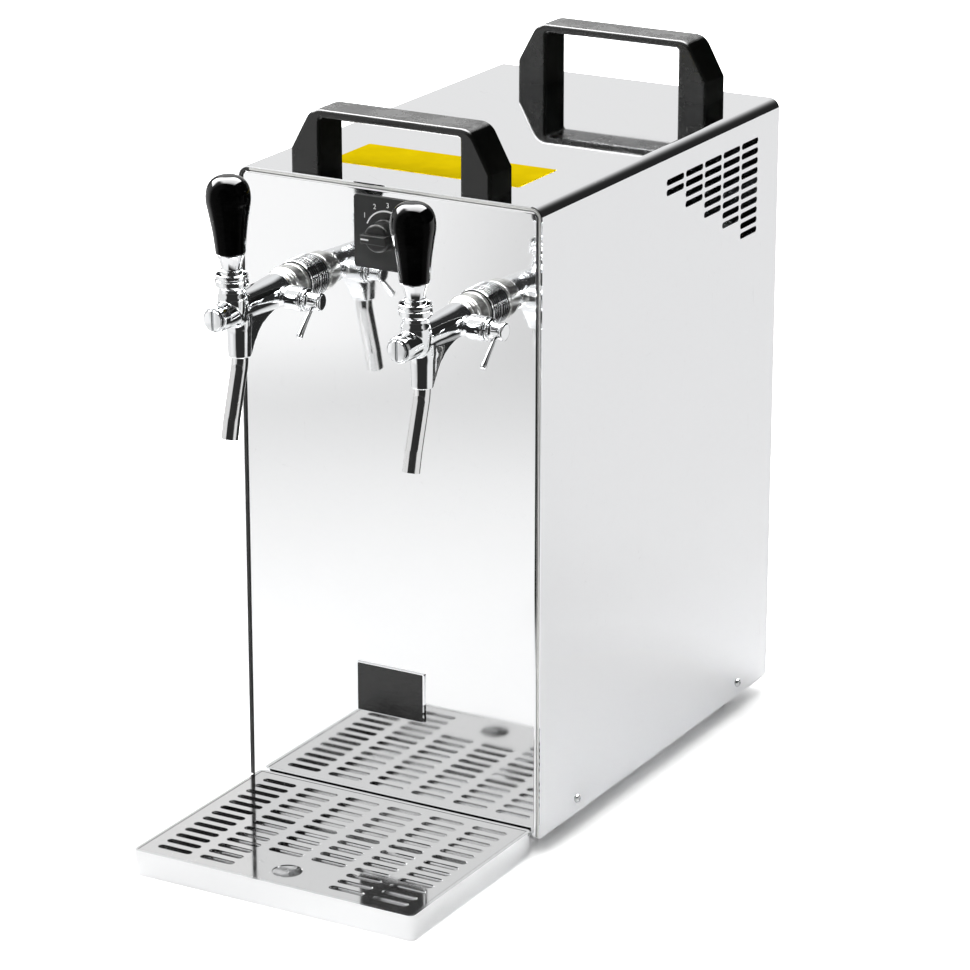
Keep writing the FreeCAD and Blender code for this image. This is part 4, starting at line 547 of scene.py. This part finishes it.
def yellowLabel():
    plain, worn = (0.97, 0.72, 0.004), (0.90, 0.66, 0.003)
    material, tree, shader = newMaterial("yellow label", plain, 0.4)
    shader.inputs["Specular IOR Level"].default_value = 0.0
    skin = useGroup(tree, mouldSkin, {"Point": objectPoint(tree), "Scale": 900.0})
    tint(tree, shader, skin.outputs["Mask"], plain, worn)
    addBump(tree, shader, skin.outputs["Height"], 0.15, 0.00004)
    return material


def whiteInk():
    plain, worn = (0.82, 0.82, 0.82), (0.7052, 0.7052, 0.7052)
    material, tree, shader = newMaterial("white ink", plain, 0.45)
    skin = useGroup(tree, mouldSkin, {"Point": objectPoint(tree), "Scale": 2600.0})
    tint(tree, shader, skin.outputs["Mask"], plain, worn)
    return material


finish = {
    "mirror": mirrorSteel(), "shell": shellSteel(), "tray": traySteel(), "grille": grilleSteel(),
    "mill": millSteel(), "zinc": zincSteel(), "chrome": chromePlate(), "nickel": satinNickel(),
    "spout": spoutSteel(), "brass": bareBrass(), "cast": castAluminium(), "fins": finAluminium(),
    "copper": drawnCopper(), "handle": handlePlastic(), "black": blackPlastic(), "grey": greyPlastic(),
    "rubber": mouldedRubber(), "foam": greyFoam(), "enamel": blackEnamel(), "knob": knobGloss(),
    "ribs": grooveShadeBlack(), "badge": badgeGloss(), "label": yellowLabel(), "white": whiteInk(),
}
slotFinish = {
    "stainless_shell": "shell", "stainless_mirror": "mirror", "stainless_plain": "mill",
    "chrome_plate": "chrome", "brass_bare": "brass", "steel_zinc": "zinc", "aluminium_cast": "cast",
    "aluminium_fin": "fins", "copper_tube": "copper", "plastic_handle": "handle", "plastic_gloss": "knob",
    "plastic_black": "black", "plastic_grey": "grey", "label_yellow": "label", "badge_black": "badge",
    "rubber_black": "rubber", "foam_grey": "foam", "paint_black": "enamel",
}
nodeFinish = {"drip_tray": "tray", "drip_grille": "grille", "left_spout": "spout", "right_spout": "spout",
              "left_wall_ring": "nickel", "right_wall_ring": "nickel", "left_coupling_nut": "nickel",
              "right_coupling_nut": "nickel", "edge_trim": "nickel"}


def dressNodes():
    for part in frame["record"]["subparts"]:
        name = part["node"]
        chosen = finish[nodeFinish.get(name, slotFinish[part["material_slot"]])]
        mesh = frame["nodes"][name].data
        mesh.materials.clear()
        mesh.materials.append(chosen)


dressNodes()
print("frame dressed,", len(finish), "finishes")


# Modelling helpers

quarter = math.radians(90)    # the matrices point local +Z where their names say
forward, backward = Matrix.Rotation(quarter, 4, "X"), Matrix.Rotation(-quarter, 4, "X")
rightward, leftward = Matrix.Rotation(quarter, 4, "Y"), Matrix.Rotation(-quarter, 4, "Y")
downward = Matrix.Rotation(2 * quarter, 4, "X")
meshing = {"weld": 0.000002, "crease": 34, "cornerReach": 0.49, "cornerSteps": (0, 0.25, 0.5, 0.75, 1)}


def at(x, y, z):
    return Matrix.Translation(Vector((x, y, z)) * mm)


def softened(profile):    # a third number rounds that corner
    points = []
    for k, corner in enumerate(profile):
        here = Vector(corner[:2])
        if len(corner) < 3 or k in (0, len(profile) - 1):
            points.append(here)
            continue
        before, after = Vector(profile[k - 1][:2]) - here, Vector(profile[k + 1][:2]) - here
        reach = min(corner[2], min(before.length, after.length) * meshing["cornerReach"])
        start, end = here + before.normalized() * reach, here + after.normalized() * reach
        for step in meshing["cornerSteps"]:
            points.append(start.lerp(here, step).lerp(here.lerp(end, step), step))
    return points


def turned(bm, profile, place, steps=64):    # a profile of radius and height in mm, spun about local Z
    verts = [bm.verts.new((point.x * mm, 0, point.y * mm)) for point in softened(profile)]
    edges = [bm.edges.new(pair) for pair in zip(verts, verts[1:])]
    made = bmesh.ops.spin(bm, geom=verts + edges, axis=(0, 0, 1), cent=(0, 0, 0), angle=math.tau,
                          steps=steps, use_merge=True)["geom_last"]
    island = set(verts) | {item for item in made if isinstance(item, bmesh.types.BMVert)}
    linked = list(island)
    while linked:
        for edge in linked.pop().link_edges:
            for vert in edge.verts:
                if vert not in island:
                    island.add(vert)
                    linked.append(vert)
    island = list(island)
    bmesh.ops.transform(bm, matrix=place, verts=island)
    bmesh.ops.remove_doubles(bm, verts=island, dist=meshing["weld"])


def plateOf(bm, outline, low, high, place):    # a flat outline in mm, made solid along local Z
    face = bm.faces.new([bm.verts.new((x * mm, y * mm, low * mm)) for x, y in outline])
    grown = bmesh.ops.extrude_face_region(bm, geom=[face])["geom"]
    top = [item for item in grown if isinstance(item, bmesh.types.BMVert)]
    bmesh.ops.translate(bm, vec=(0, 0, (high - low) * mm), verts=top)
    bmesh.ops.transform(bm, matrix=place, verts=list(face.verts) + top)
    return face, top


def spread(start, end, count):
    return [start + (end - start) * k / count for k in range(count + 1)]


def circleOf(radius, turns, middle=(0, 0)):
    return [(middle[0] + radius * math.cos(turn), middle[1] + radius * math.sin(turn)) for turn in turns]


def roundEdges(bm, edges, offset, segments):
    bmesh.ops.bevel(bm, geom=edges, offset=offset * mm, segments=segments, profile=0.5, affect="EDGES")


def toMesh(name, bm, looks):
    bmesh.ops.recalc_face_normals(bm, faces=bm.faces)
    mesh = bpy.data.meshes.new(name)
    bm.to_mesh(mesh)
    bm.free()
    for look in looks:
        mesh.materials.append(finish[look])
    return mesh


def addPiece(name, mesh, body, slot, replaced=(), crease=meshing["crease"]):
    mesh.shade_smooth()
    mesh.set_sharp_from_angle(angle=math.radians(crease))
    piece = bpy.data.objects.new(name, mesh)
    scene.collection.objects.link(piece)
    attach(piece, body)
    if replaced:
        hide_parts(*replaced)


def addForms(name, bm, looks, *rest):
    addPiece(name, toMesh(name, bm, looks), *rest)


def fused(name, mesh, voxel, rounds):    # one skin over all the forms, with their joins run together
    holder = bpy.data.objects.new(name, mesh)
    scene.collection.objects.link(holder)
    remesh = holder.modifiers.new("skin", "REMESH")
    remesh.mode, remesh.voxel_size = "VOXEL", voxel * mm
    smooth = holder.modifiers.new("run together", "SMOOTH")
    smooth.factor, smooth.iterations = 0.5, rounds
    graph = bpy.context.evaluated_depsgraph_get()
    skin = bpy.data.meshes.new_from_object(holder.evaluated_get(graph))
    bpy.data.objects.remove(holder)
    return skin


print("helpers ready")


# Taps

tapPlace = {"left": -75.5, "right": 81.5, "front": -119.5, "rise": 431.5, "lever": 97.5, "spout": 89,
            "pivot": 26, "lean": 2.5, "side": 45, "sideDrop": 1, "noseDrop": 1.5}
castForms = {
    "barrel": [(0, 34.4), (12.4, 34.4, 1.2), (13.2, 38, 2), (12.9, 46, 6), (11.8, 62, 8), (10.9, 80, 6),
               (10.7, 90, 3), (10.2, 100, 3), (0, 104)],
    "block": [(0, -12.5), (6.5, -12, 4), (10.2, -8, 5), (11.4, 2, 6), (11.3, 10, 3), (9.9, 14, 2),
              (9.7, 17.6), (0, 17.6)],
    "nose": [(0, 84), (9.4, 84), (10.1, 100, 6), (10.3, 116, 2), (9.9, 121.7, 0.8), (0, 121.7)],
    "socket": [(0, 0), (9.6, 0), (9.9, 14, 3), (9.3, 17, 3), (8.7, 37.8, 0.7), (6.9, 37.8), (6.9, 34),
               (0, 34)],
    "sideNeck": [(0, 0), (7.6, 0), (7.6, 17), (0, 17)],
    "sideBoss": [(0, 14.5), (8.2, 14.5, 1.5), (9.4, 16.5, 1), (9.4, 30.3, 1), (0, 30.3)],
    "web": [(42, -6), (50, -10.5), (60, -13.6), (67, -17.2), (73, -22.6), (77.3, -29), (80, -34.5),
            (81.8, -37.9), (89, -37.9), (93, -20), (95, -2), (42, 2)],
    "webHalf": 8.1, "webTip": 6.2, "webDrop": 38, "voxel": 0.55, "rounds": 10, "crease": 80,
}


def tapFrame(side):
    return at(tapPlace[side], tapPlace["front"], tapPlace["rise"])


def hingeFrame(side):    # where the flow lever turns
    return tapFrame(side) @ at(0, -tapPlace["side"], -tapPlace["sideDrop"])


def addCasting(side):
    place, forms, name = tapFrame(side), castForms, side + "_casting"
    bm = bmesh.new()
    turned(bm, forms["barrel"], place @ forward)
    turned(bm, forms["nose"], place @ at(0, 0, -tapPlace["noseDrop"]) @ forward)
    turned(bm, forms["block"], place @ at(0, -tapPlace["lever"], 0))
    turned(bm, forms["socket"], place @ at(0, -tapPlace["spout"], 0) @ downward)
    for form in ("sideNeck", "sideBoss"):
        turned(bm, forms[form], hingeFrame(side) @ rightward)
    sideView = Matrix(((0, 0, 1, 0), (-1, 0, 0, 0), (0, 1, 0, 0), (0, 0, 0, 1)))
    face, far = plateOf(bm, forms["web"], -forms["webHalf"], forms["webHalf"], place @ sideView)
    middle = place.translation
    for vert in list(face.verts) + far:
        sunk = min(1.0, max(0.0, (middle.z - vert.co.z) / mm / forms["webDrop"]))
        narrow = 1 - sunk * (1 - forms["webTip"] / forms["webHalf"])
        vert.co.x = middle.x + (vert.co.x - middle.x) * narrow
    skin = fused(name + "_forms", toMesh(side + "_forms", bm, ()), forms["voxel"], forms["rounds"])
    skin.name = name
    skin.materials.clear()
    skin.materials.append(finish["chrome"])
    addPiece(name, skin, "root", "chrome_plate", (side + "_tap_body",), forms["crease"])


for side in ("left", "right"):
    addCasting(side)
print("tap castings made")

turnedParts = {
    "capRing": [(8.3, 121.2), (8.3, 122.6, 0.5), (9.3, 122.9, 0.6), (9.9, 121.2)],
    "capFloor": [(0, 122.4), (8.1, 122.4), (8.1, 121.6), (0, 121.6)],
    "capRadius": 7.7, "capLow": 122.3, "capHigh": 124.7, "capSlot": 0.7, "capArc": 24, "capSoft": 0.5,
    "bonnet": [(10.9, 19), (10.9, 27.4, 0.4), (11.3, 28, 0.4), (12.1, 28, 0.6), (12.4, 27, 0.8),
               (12.4, 25.2, 0.8), (11.5, 24.6, 0.4), (11.5, 23.9, 0.4), (12.6, 23.4, 0.7), (12.6, 19.6, 0.9),
               (11.2, 18.1, 0.5), (9.9, 18.0), (9.9, 19), (10.9, 19)],
    "stem": [(0, -26.2), (1.6, -25.6, 0.6), (2.2, -24, 1), (1.6, -22.2, 0.5), (1.6, -8.3), (4.6, -7.1, 2),
             (8.0, -2.8, 3), (8.5, 0, 3), (8.2, 2.4, 3), (7.4, 4.2, 0.4), (7.4, 5.0, 0.3), (7.9, 5.4, 0.3),
             (7.9, 6.4, 0.3), (7.5, 6.8, 0.4), (8.7, 12, 2), (10.6, 17.0, 0.8), (10.9, 17.5, 0.3),
             (10.9, 18.2, 0.3), (4, 18.2), (4, 34), (0, 34)],
    "pear": [(4.1, 18.3), (10.6, 18.3, 0.5), (11.3, 18.9, 0.6), (11.5, 22, 3), (12.8, 35, 12), (15.2, 49, 10),
             (16.75, 57.5, 5), (16.85, 62, 5), (15.9, 68.5, 5), (12.6, 73.8, 5), (7.4, 76.8, 4), (0, 77.25)],
    "nut": [(11.4, 12.2), (15.0, 12.2, 0.4), (15.5, 12.7, 0.4), (15.5, 16.2, 0.5), (15.1, 16.6, 0.3),
            (15.1, 17.2, 0.3), (15.5, 17.6, 0.5), (15.5, 27.2, 0.8), (14.6, 28.5, 0.8), (13.9, 28.8, 0.8),
            (13.6, 29.6, 0.5), (13.6, 33.4, 0.5), (13.0, 34.1, 0.4), (12.2, 34.1)],
    "capSteps": 48, "pearSteps": 96, "nutSteps": 72,
}
# groove floors deeper than bare below the rim get a black finish as painted shade
wallRibs = {"bore": 11.3, "rim": 17, "count": 4, "pitch": 2.7, "land": 0.8, "depth": 2.4, "long": 12,
            "start": 0.5, "slope": 0.5, "bare": 1.1, "seat": 0.05, "mouth": 0.6, "end": 0.9, "lip": 0.5,
            "round": 0.3}


def ribProfile(ribs):
    rim, floor, long = ribs["rim"], ribs["rim"] - ribs["depth"], ribs["long"]
    spots = [(rim - ribs["mouth"], ribs["seat"])]
    for k in range(ribs["count"]):
        start = ribs["start"] + k * ribs["pitch"]
        spots += [(rim, start), (rim, start + ribs["land"]), (floor, start + ribs["land"] + ribs["slope"]),
                  (floor, start + ribs["pitch"] - ribs["slope"])]
    spots += [(rim, long - ribs["end"]), (rim - ribs["lip"], long)]
    rounded = [(*spot, ribs["round"]) for spot in spots]
    return [(ribs["bore"], ribs["seat"])] + rounded + [(ribs["bore"], long)]


def addTurned(name, looks, slot, body, place, profile, replaced, steps=64, grooveFloor=0):
    bm = bmesh.new()
    turned(bm, profile, place, steps)
    back = place.inverted()
    # faces nearer the axis than grooveFloor take the second look; on the rib ring that is painted shade
    for face in bm.faces:
        middle = back @ face.calc_center_median()
        face.material_index = int(middle.xy.length < grooveFloor * mm)
    addForms(name, bm, looks, body, slot, (replaced,))


def addNoseCap(side):
    place, parts = tapFrame(side) @ at(0, 0, -tapPlace["noseDrop"]) @ forward, turnedParts
    bm = bmesh.new()
    turned(bm, parts["capRing"], place, parts["capSteps"])
    turned(bm, parts["capFloor"], place, parts["capSteps"])
    reach = math.acos(parts["capSlot"] / parts["capRadius"])
    half = circleOf(parts["capRadius"], spread(-reach, reach, parts["capArc"]))
    for sign in (-1, 1):
        outline = [(sign * x, y) for x, y in half]
        face, top = plateOf(bm, outline, parts["capLow"], parts["capHigh"], place)
        roundEdges(bm, [edge for edge in bm.edges if edge.verts[0] in top and edge.verts[1] in top],
                   parts["capSoft"], 3)
    addForms(side + "_nose_cap", bm, ("chrome",), "root", "chrome_plate", ("nose_screws",))


for side in ("left", "right"):
    straight = tapFrame(side) @ forward
    upright = tapFrame(side) @ at(0, -tapPlace["lever"], 0)
    leaning = upright @ at(0, 0, tapPlace["pivot"]) @ Matrix.Rotation(math.radians(tapPlace["lean"]), 4, "X")
    addNoseCap(side)
    addTurned(side + "_bonnet", ("chrome",), "chrome_plate", "root", upright, turnedParts["bonnet"],
              side + "_bonnet_nut")
    addTurned(side + "_stem", ("chrome",), "chrome_plate", side + "_lever", leaning, turnedParts["stem"],
              side + "_tap_lever")
    addTurned(side + "_pear", ("knob",), "plastic_gloss", side + "_lever", leaning, turnedParts["pear"],
              side + "_lever_knob", turnedParts["pearSteps"])
    addTurned(side + "_nut", ("nickel",), "chrome_plate", "root", straight, turnedParts["nut"],
              side + "_coupling_nut", turnedParts["nutSteps"])
    # painted shade: the rib ring's groove floors take a black finish, its lands stay chrome
    addTurned(side + "_rib_ring", ("chrome", "ribs"), "chrome_plate", "root", straight, ribProfile(wallRibs),
              side + "_wall_ring", turnedParts["nutSteps"], wallRibs["rim"] - wallRibs["bare"])
print("turned tap pieces made")

flowLever = {
    "gapRing": [(4.9, 30.9), (8.2, 30.9, 0.3), (8.2, 31.9, 0.3), (5.2, 31.9)],
    "hub": [(4.6, 31.8), (8.6, 31.8, 0.4), (8.9, 32.3, 0.4), (8.9, 33.2, 0.4), (7.0, 33.9, 1.2),
            (6.3, 35.2, 1), (6.3, 42.2, 1), (6.9, 43.0, 0.4), (6.9, 44.6, 0.6), (5.6, 45.4, 0.8), (0, 45.6)],
    "rod": [(1.5, 4.6), (1.6, 9), (1.75, 18), (2.2, 27, 3), (2.6, 30.6, 1), (2.3, 32.2, 0.8), (0, 32.4)],
    "shaft": [(0, 3.2), (4.85, 3.2), (4.85, 31.5), (0, 31.5)],
    "pin": [(0, -2.4), (1, -2.4), (1, 3.4), (0, 3.4)],
    "rodAt": 38.8, "ahead": 22.7, "drop": 22.6, "crank": 3, "steps": 48, "pinSteps": 16, "rodSteps": 24,
}


def addFlowLever(side):
    parts, hinge = flowLever, hingeFrame(side)
    bm = bmesh.new()
    for form in ("gapRing", "hub", "shaft"):
        turned(bm, parts[form], hinge @ rightward, parts["steps"])
    turned(bm, parts["pin"], hinge @ at(0, 0, parts["crank"]) @ rightward, parts["pinSteps"])
    slope = math.atan2(parts["ahead"], -parts["drop"])
    turned(bm, parts["rod"], hinge @ at(parts["rodAt"], 0, 0) @ Matrix.Rotation(slope, 4, "X"),
           parts["rodSteps"])
    addForms(side + "_flow_arm", bm, ("chrome",), side + "_flow_lever", "chrome_plate",
             (side + "_compensator_lever",))


for side in ("left", "right"):
    addFlowLever(side)
print("flow levers made")


# Thermostat dial

dial = {
    "face": -121.5, "rise": 476.5, "arcIn": 17.2, "arcOut": 18.2, "arcGrow": 0.9, "arcFrom": 158,
    "arcTo": -52, "arcSteps": 60, "marks": 7, "markFrom": 146, "markTo": -34, "markRadius": 22.4,
    "markSize": 5.6, "spot": (-58, 22.2, 1.7), "spotSteps": 24, "inkLow": 0.01, "ink": 0.06,
    "barHalf": 3.4, "barReach": 11.1, "barLow": 13.5, "barHigh": 20, "barSoft": 0.9, "barSteps": 8,
    "pointer": [(-10.2, -0.55), (-3.5, -0.55), (-3.5, 0.55), (-10.2, 0.55)], "pointerSunk": 0.3,
    "skirt": [(3.1, 0.35), (12, 0.35), (12, 1.9, 0.5), (11.3, 2.5, 0.5), (11.0, 13.6, 1.6), (9.2, 15.2, 1),
              (3.1, 15.5)],
}
dialPlace = at(0, dial["face"], dial["rise"]) @ forward


def onDial(angle, radius):
    return circleOf(radius, [math.radians(angle)])[0]


def numeral(text):
    letters = bpy.data.curves.new("mark", "FONT")
    letters.body, letters.size, letters.extrude = text, dial["markSize"] * mm, dial["ink"] / 2 * mm
    letters.align_x, letters.align_y = "CENTER", "CENTER"
    holder = bpy.data.objects.new("mark", letters)
    scene.collection.objects.link(holder)
    shape = bpy.data.meshes.new_from_object(holder.evaluated_get(bpy.context.evaluated_depsgraph_get()))
    bpy.data.objects.remove(holder)
    bpy.data.curves.remove(letters)
    return shape


def addDialPrint():
    bm = bmesh.new()
    steps = spread(dial["arcFrom"], dial["arcTo"], dial["arcSteps"])
    widths = spread(dial["arcOut"], dial["arcOut"] + dial["arcGrow"], dial["arcSteps"])
    inner = [onDial(angle, dial["arcIn"]) for angle in steps]
    outer = [onDial(angle, radius) for angle, radius in zip(steps, widths)]
    plateOf(bm, inner + outer[::-1], dial["inkLow"], dial["ink"], dialPlace)
    angle, radius, size = dial["spot"]
    spot = circleOf(size, spread(0, math.tau, dial["spotSteps"])[:-1], onDial(angle, radius))
    plateOf(bm, spot, dial["inkLow"], dial["ink"], dialPlace)
    for k, angle in enumerate(spread(dial["markFrom"], dial["markTo"], dial["marks"] - 1)):
        shape = numeral(str(k + 1))
        shape.transform(dialPlace @ at(*onDial(angle, dial["markRadius"]), dial["ink"] / 2))
        bm.from_mesh(shape)
        bpy.data.meshes.remove(shape)
    addForms("dial_print", bm, ("white",), "root", "plastic_black")


def addDialKnob():
    bm = bmesh.new()
    turned(bm, dial["skirt"], dialPlace)
    tilt = math.asin(dial["barHalf"] / dial["barReach"])
    outline = circleOf(dial["barReach"], spread(tilt, -tilt, dial["barSteps"]))
    outline += [(-x, y) for x, y in outline[::-1]]
    face, far = plateOf(bm, outline, dial["barLow"], dial["barHigh"], dialPlace)
    roundEdges(bm, [edge for edge in bm.edges if all(vert in far for vert in edge.verts)], dial["barSoft"], 3)
    face, far = plateOf(bm, dial["pointer"], dial["barHigh"] - dial["pointerSunk"],
                        dial["barHigh"] + dial["ink"], dialPlace)
    marked = set(face.verts) | set(far)
    for face in bm.faces:
        if all(vert in marked for vert in face.verts):
            face.material_index = 1
    addForms("dial_knob", bm, ("black", "white"), "dial", "plastic_black", ("thermostat_knob",))


addDialPrint()
addDialKnob()
print("thermostat dial made")


# Badge

badge = {"half": (30.5, 20), "rise": 109.5, "thick": 1.5, "edge": (1.3, 0.5), "proud": 0.05, "back": 0.3,
         "corner": 0.8}


def plateWithCorners(bm, half, low, high, place):
    x, y = half
    return plateOf(bm, [(-x, -y), (x, -y), (x, y), (-x, y)], low, high, place)


def addBadge():
    place = at(0, tapPlace["front"], badge["rise"]) @ forward
    for name, inset, low, high, look, slot in (
            ("badge_back", (0, 0), 0.0, badge["thick"], "chrome", "chrome_plate"),
            ("badge_face", badge["edge"], badge["back"], badge["thick"] + badge["proud"], "badge",
             "badge_black")):
        half = [whole - less for whole, less in zip(badge["half"], inset)]
        bm = bmesh.new()
        face, far = plateWithCorners(bm, half, low, high, place)
        roundEdges(bm, [edge for edge in bm.edges if (edge.verts[0] in far) != (edge.verts[1] in far)],
                   badge["corner"], 4)
        addForms(name, bm, (look,), "root", slot, ("badge_plate",))


addBadge()
print("badge made")


# Screws, feet and rear fittings

small = {
    "head": [(0, -8), (2, -8), (2, -0.05), (3.6, -0.05), (3.6, 0.35, 0.15), (3.1, 1.4, 0.7), (2.1, 1.95, 0.4),
             (1.25, 2.0), (1.25, 1.9)],
    "recess": [(1.42, 1.96), (1.3, 0.7), (0, 0.6)],
    "foot": [(5.5, 6), (5.5, 0), (11.6, 0, 0.5), (12.6, 0.7, 0.5), (12.9, 3.2, 0.3), (12.3, 3.6, 0.2),
             (12.4, 4.4, 0.2), (13.2, 4.8, 0.3), (13.6, 7.4, 0.3), (13.0, 7.8, 0.2), (13.1, 8.6, 0.2),
             (13.9, 9.0, 0.3), (14.8, 13.4), (2.2, 13.45), (2.2, 6), (5.5, 6)],
    "footSpots": [(x, y) for x in (-106, 106) for y in (-67.5, 226.5)],
    "sideSpots": [(-58.7, 24.9), (223.6, 24.9)],
    "backSpots": [(x, z) for x in (-126, 126) for z in (53.5, 263.5, 473.5)] + [(-66, 507.5), (66, 507.5)],
    "half": 132, "back": 278.5,
    "body": [(8.5, -14), (8.5, 0), (9.0, 0), (9.0, 3.2), (8.9, 4.5, 0.4), (9.9, 5, 0.4), (9.9, 9, 0.5),
             (9.2, 9.5, 0.3), (9.2, 11.2, 0.3), (9.9, 11.7, 0.4), (9.9, 15.2, 0.4), (9.2, 15.7, 0.3),
             (9.2, 21.6, 0.8), (8.4, 22.4, 0.3), (7.4, 22.5), (4.2, 21.6), (4.1, 6), (2.6, 5.8), (2.6, -14),
             (8.5, -14)],
    "hex": [(4.5, -0.02), (12, -0.02, 0.2), (12, 2.9, 0.4), (8.4, 3.0)],
    "collet": [(4.15, 20), (4.15, 23.8, 0.3), (4.6, 24, 0.3), (7.2, 24, 0.5), (7.2, 22.6, 0.3), (6.2, 22.2),
               (6.2, 20), (4.15, 20)],
    "fittings": {"left_beer": (-60, 203.5), "right_beer": (60, 203.5), "air": (102, 63.5)},
    "socket": (-77, 73.5), "pins": [(-7, -2.2), (7, -2.2), (0, 2.6)], "pinHalf": (1.0, 2.4),
    "pinReach": (-13, -3), "pinSoft": 0.5, "headSteps": 32, "steps": 48, "sides": 6,
}


def addHeads(name, places, replaced):
    bm = bmesh.new()
    for place in places:
        turned(bm, small["head"], place, small["headSteps"])
        turned(bm, small["recess"], place, small["sides"])
    addForms(name, bm, ("mill",), "root", "stainless_plain", (replaced,))


def addFeet():
    bm = bmesh.new()
    for x, y in small["footSpots"]:
        turned(bm, small["foot"], at(x, y, 0), small["steps"])
    addForms("foot_rubbers", bm, ("rubber",), "root", "rubber_black", ("feet",))


def addFitting(name, x, z):
    place, replaced = at(x, small["back"], z) @ backward, (name + "_fitting",)
    bm = bmesh.new()
    turned(bm, small["body"], place, small["steps"])
    turned(bm, small["hex"], place, small["sides"])
    addForms(name + "_fitting_body", bm, ("black",), "root", "plastic_black", replaced)
    bm = bmesh.new()
    turned(bm, small["collet"], place, small["steps"])
    addForms(name + "_collet", bm, ("grey",), "root", "plastic_grey", replaced)


def addPins():
    bm = bmesh.new()
    for across, up in small["pins"]:
        place = at(small["socket"][0] + across, small["back"], small["socket"][1] + up) @ backward
        face, far = plateWithCorners(bm, small["pinHalf"], *small["pinReach"], place)
        roundEdges(bm, [edge for edge in bm.edges if all(vert in far for vert in edge.verts)],
                   small["pinSoft"], 2)
    addForms("inlet_pins", bm, ("nickel",), "root", "chrome_plate")


addHeads("side_heads", [at(x, y, z) @ outward
                        for x, outward in ((-small["half"], leftward), (small["half"], rightward))
                        for y, z in small["sideSpots"]], "side_screws")
addHeads("back_heads", [at(x, small["back"], z) @ backward for x, z in small["backSpots"]], "back_screws")
addFeet()
for name, (x, z) in small["fittings"].items():
    addFitting(name, x, z)
addPins()
print("screws, feet and rear fittings made")
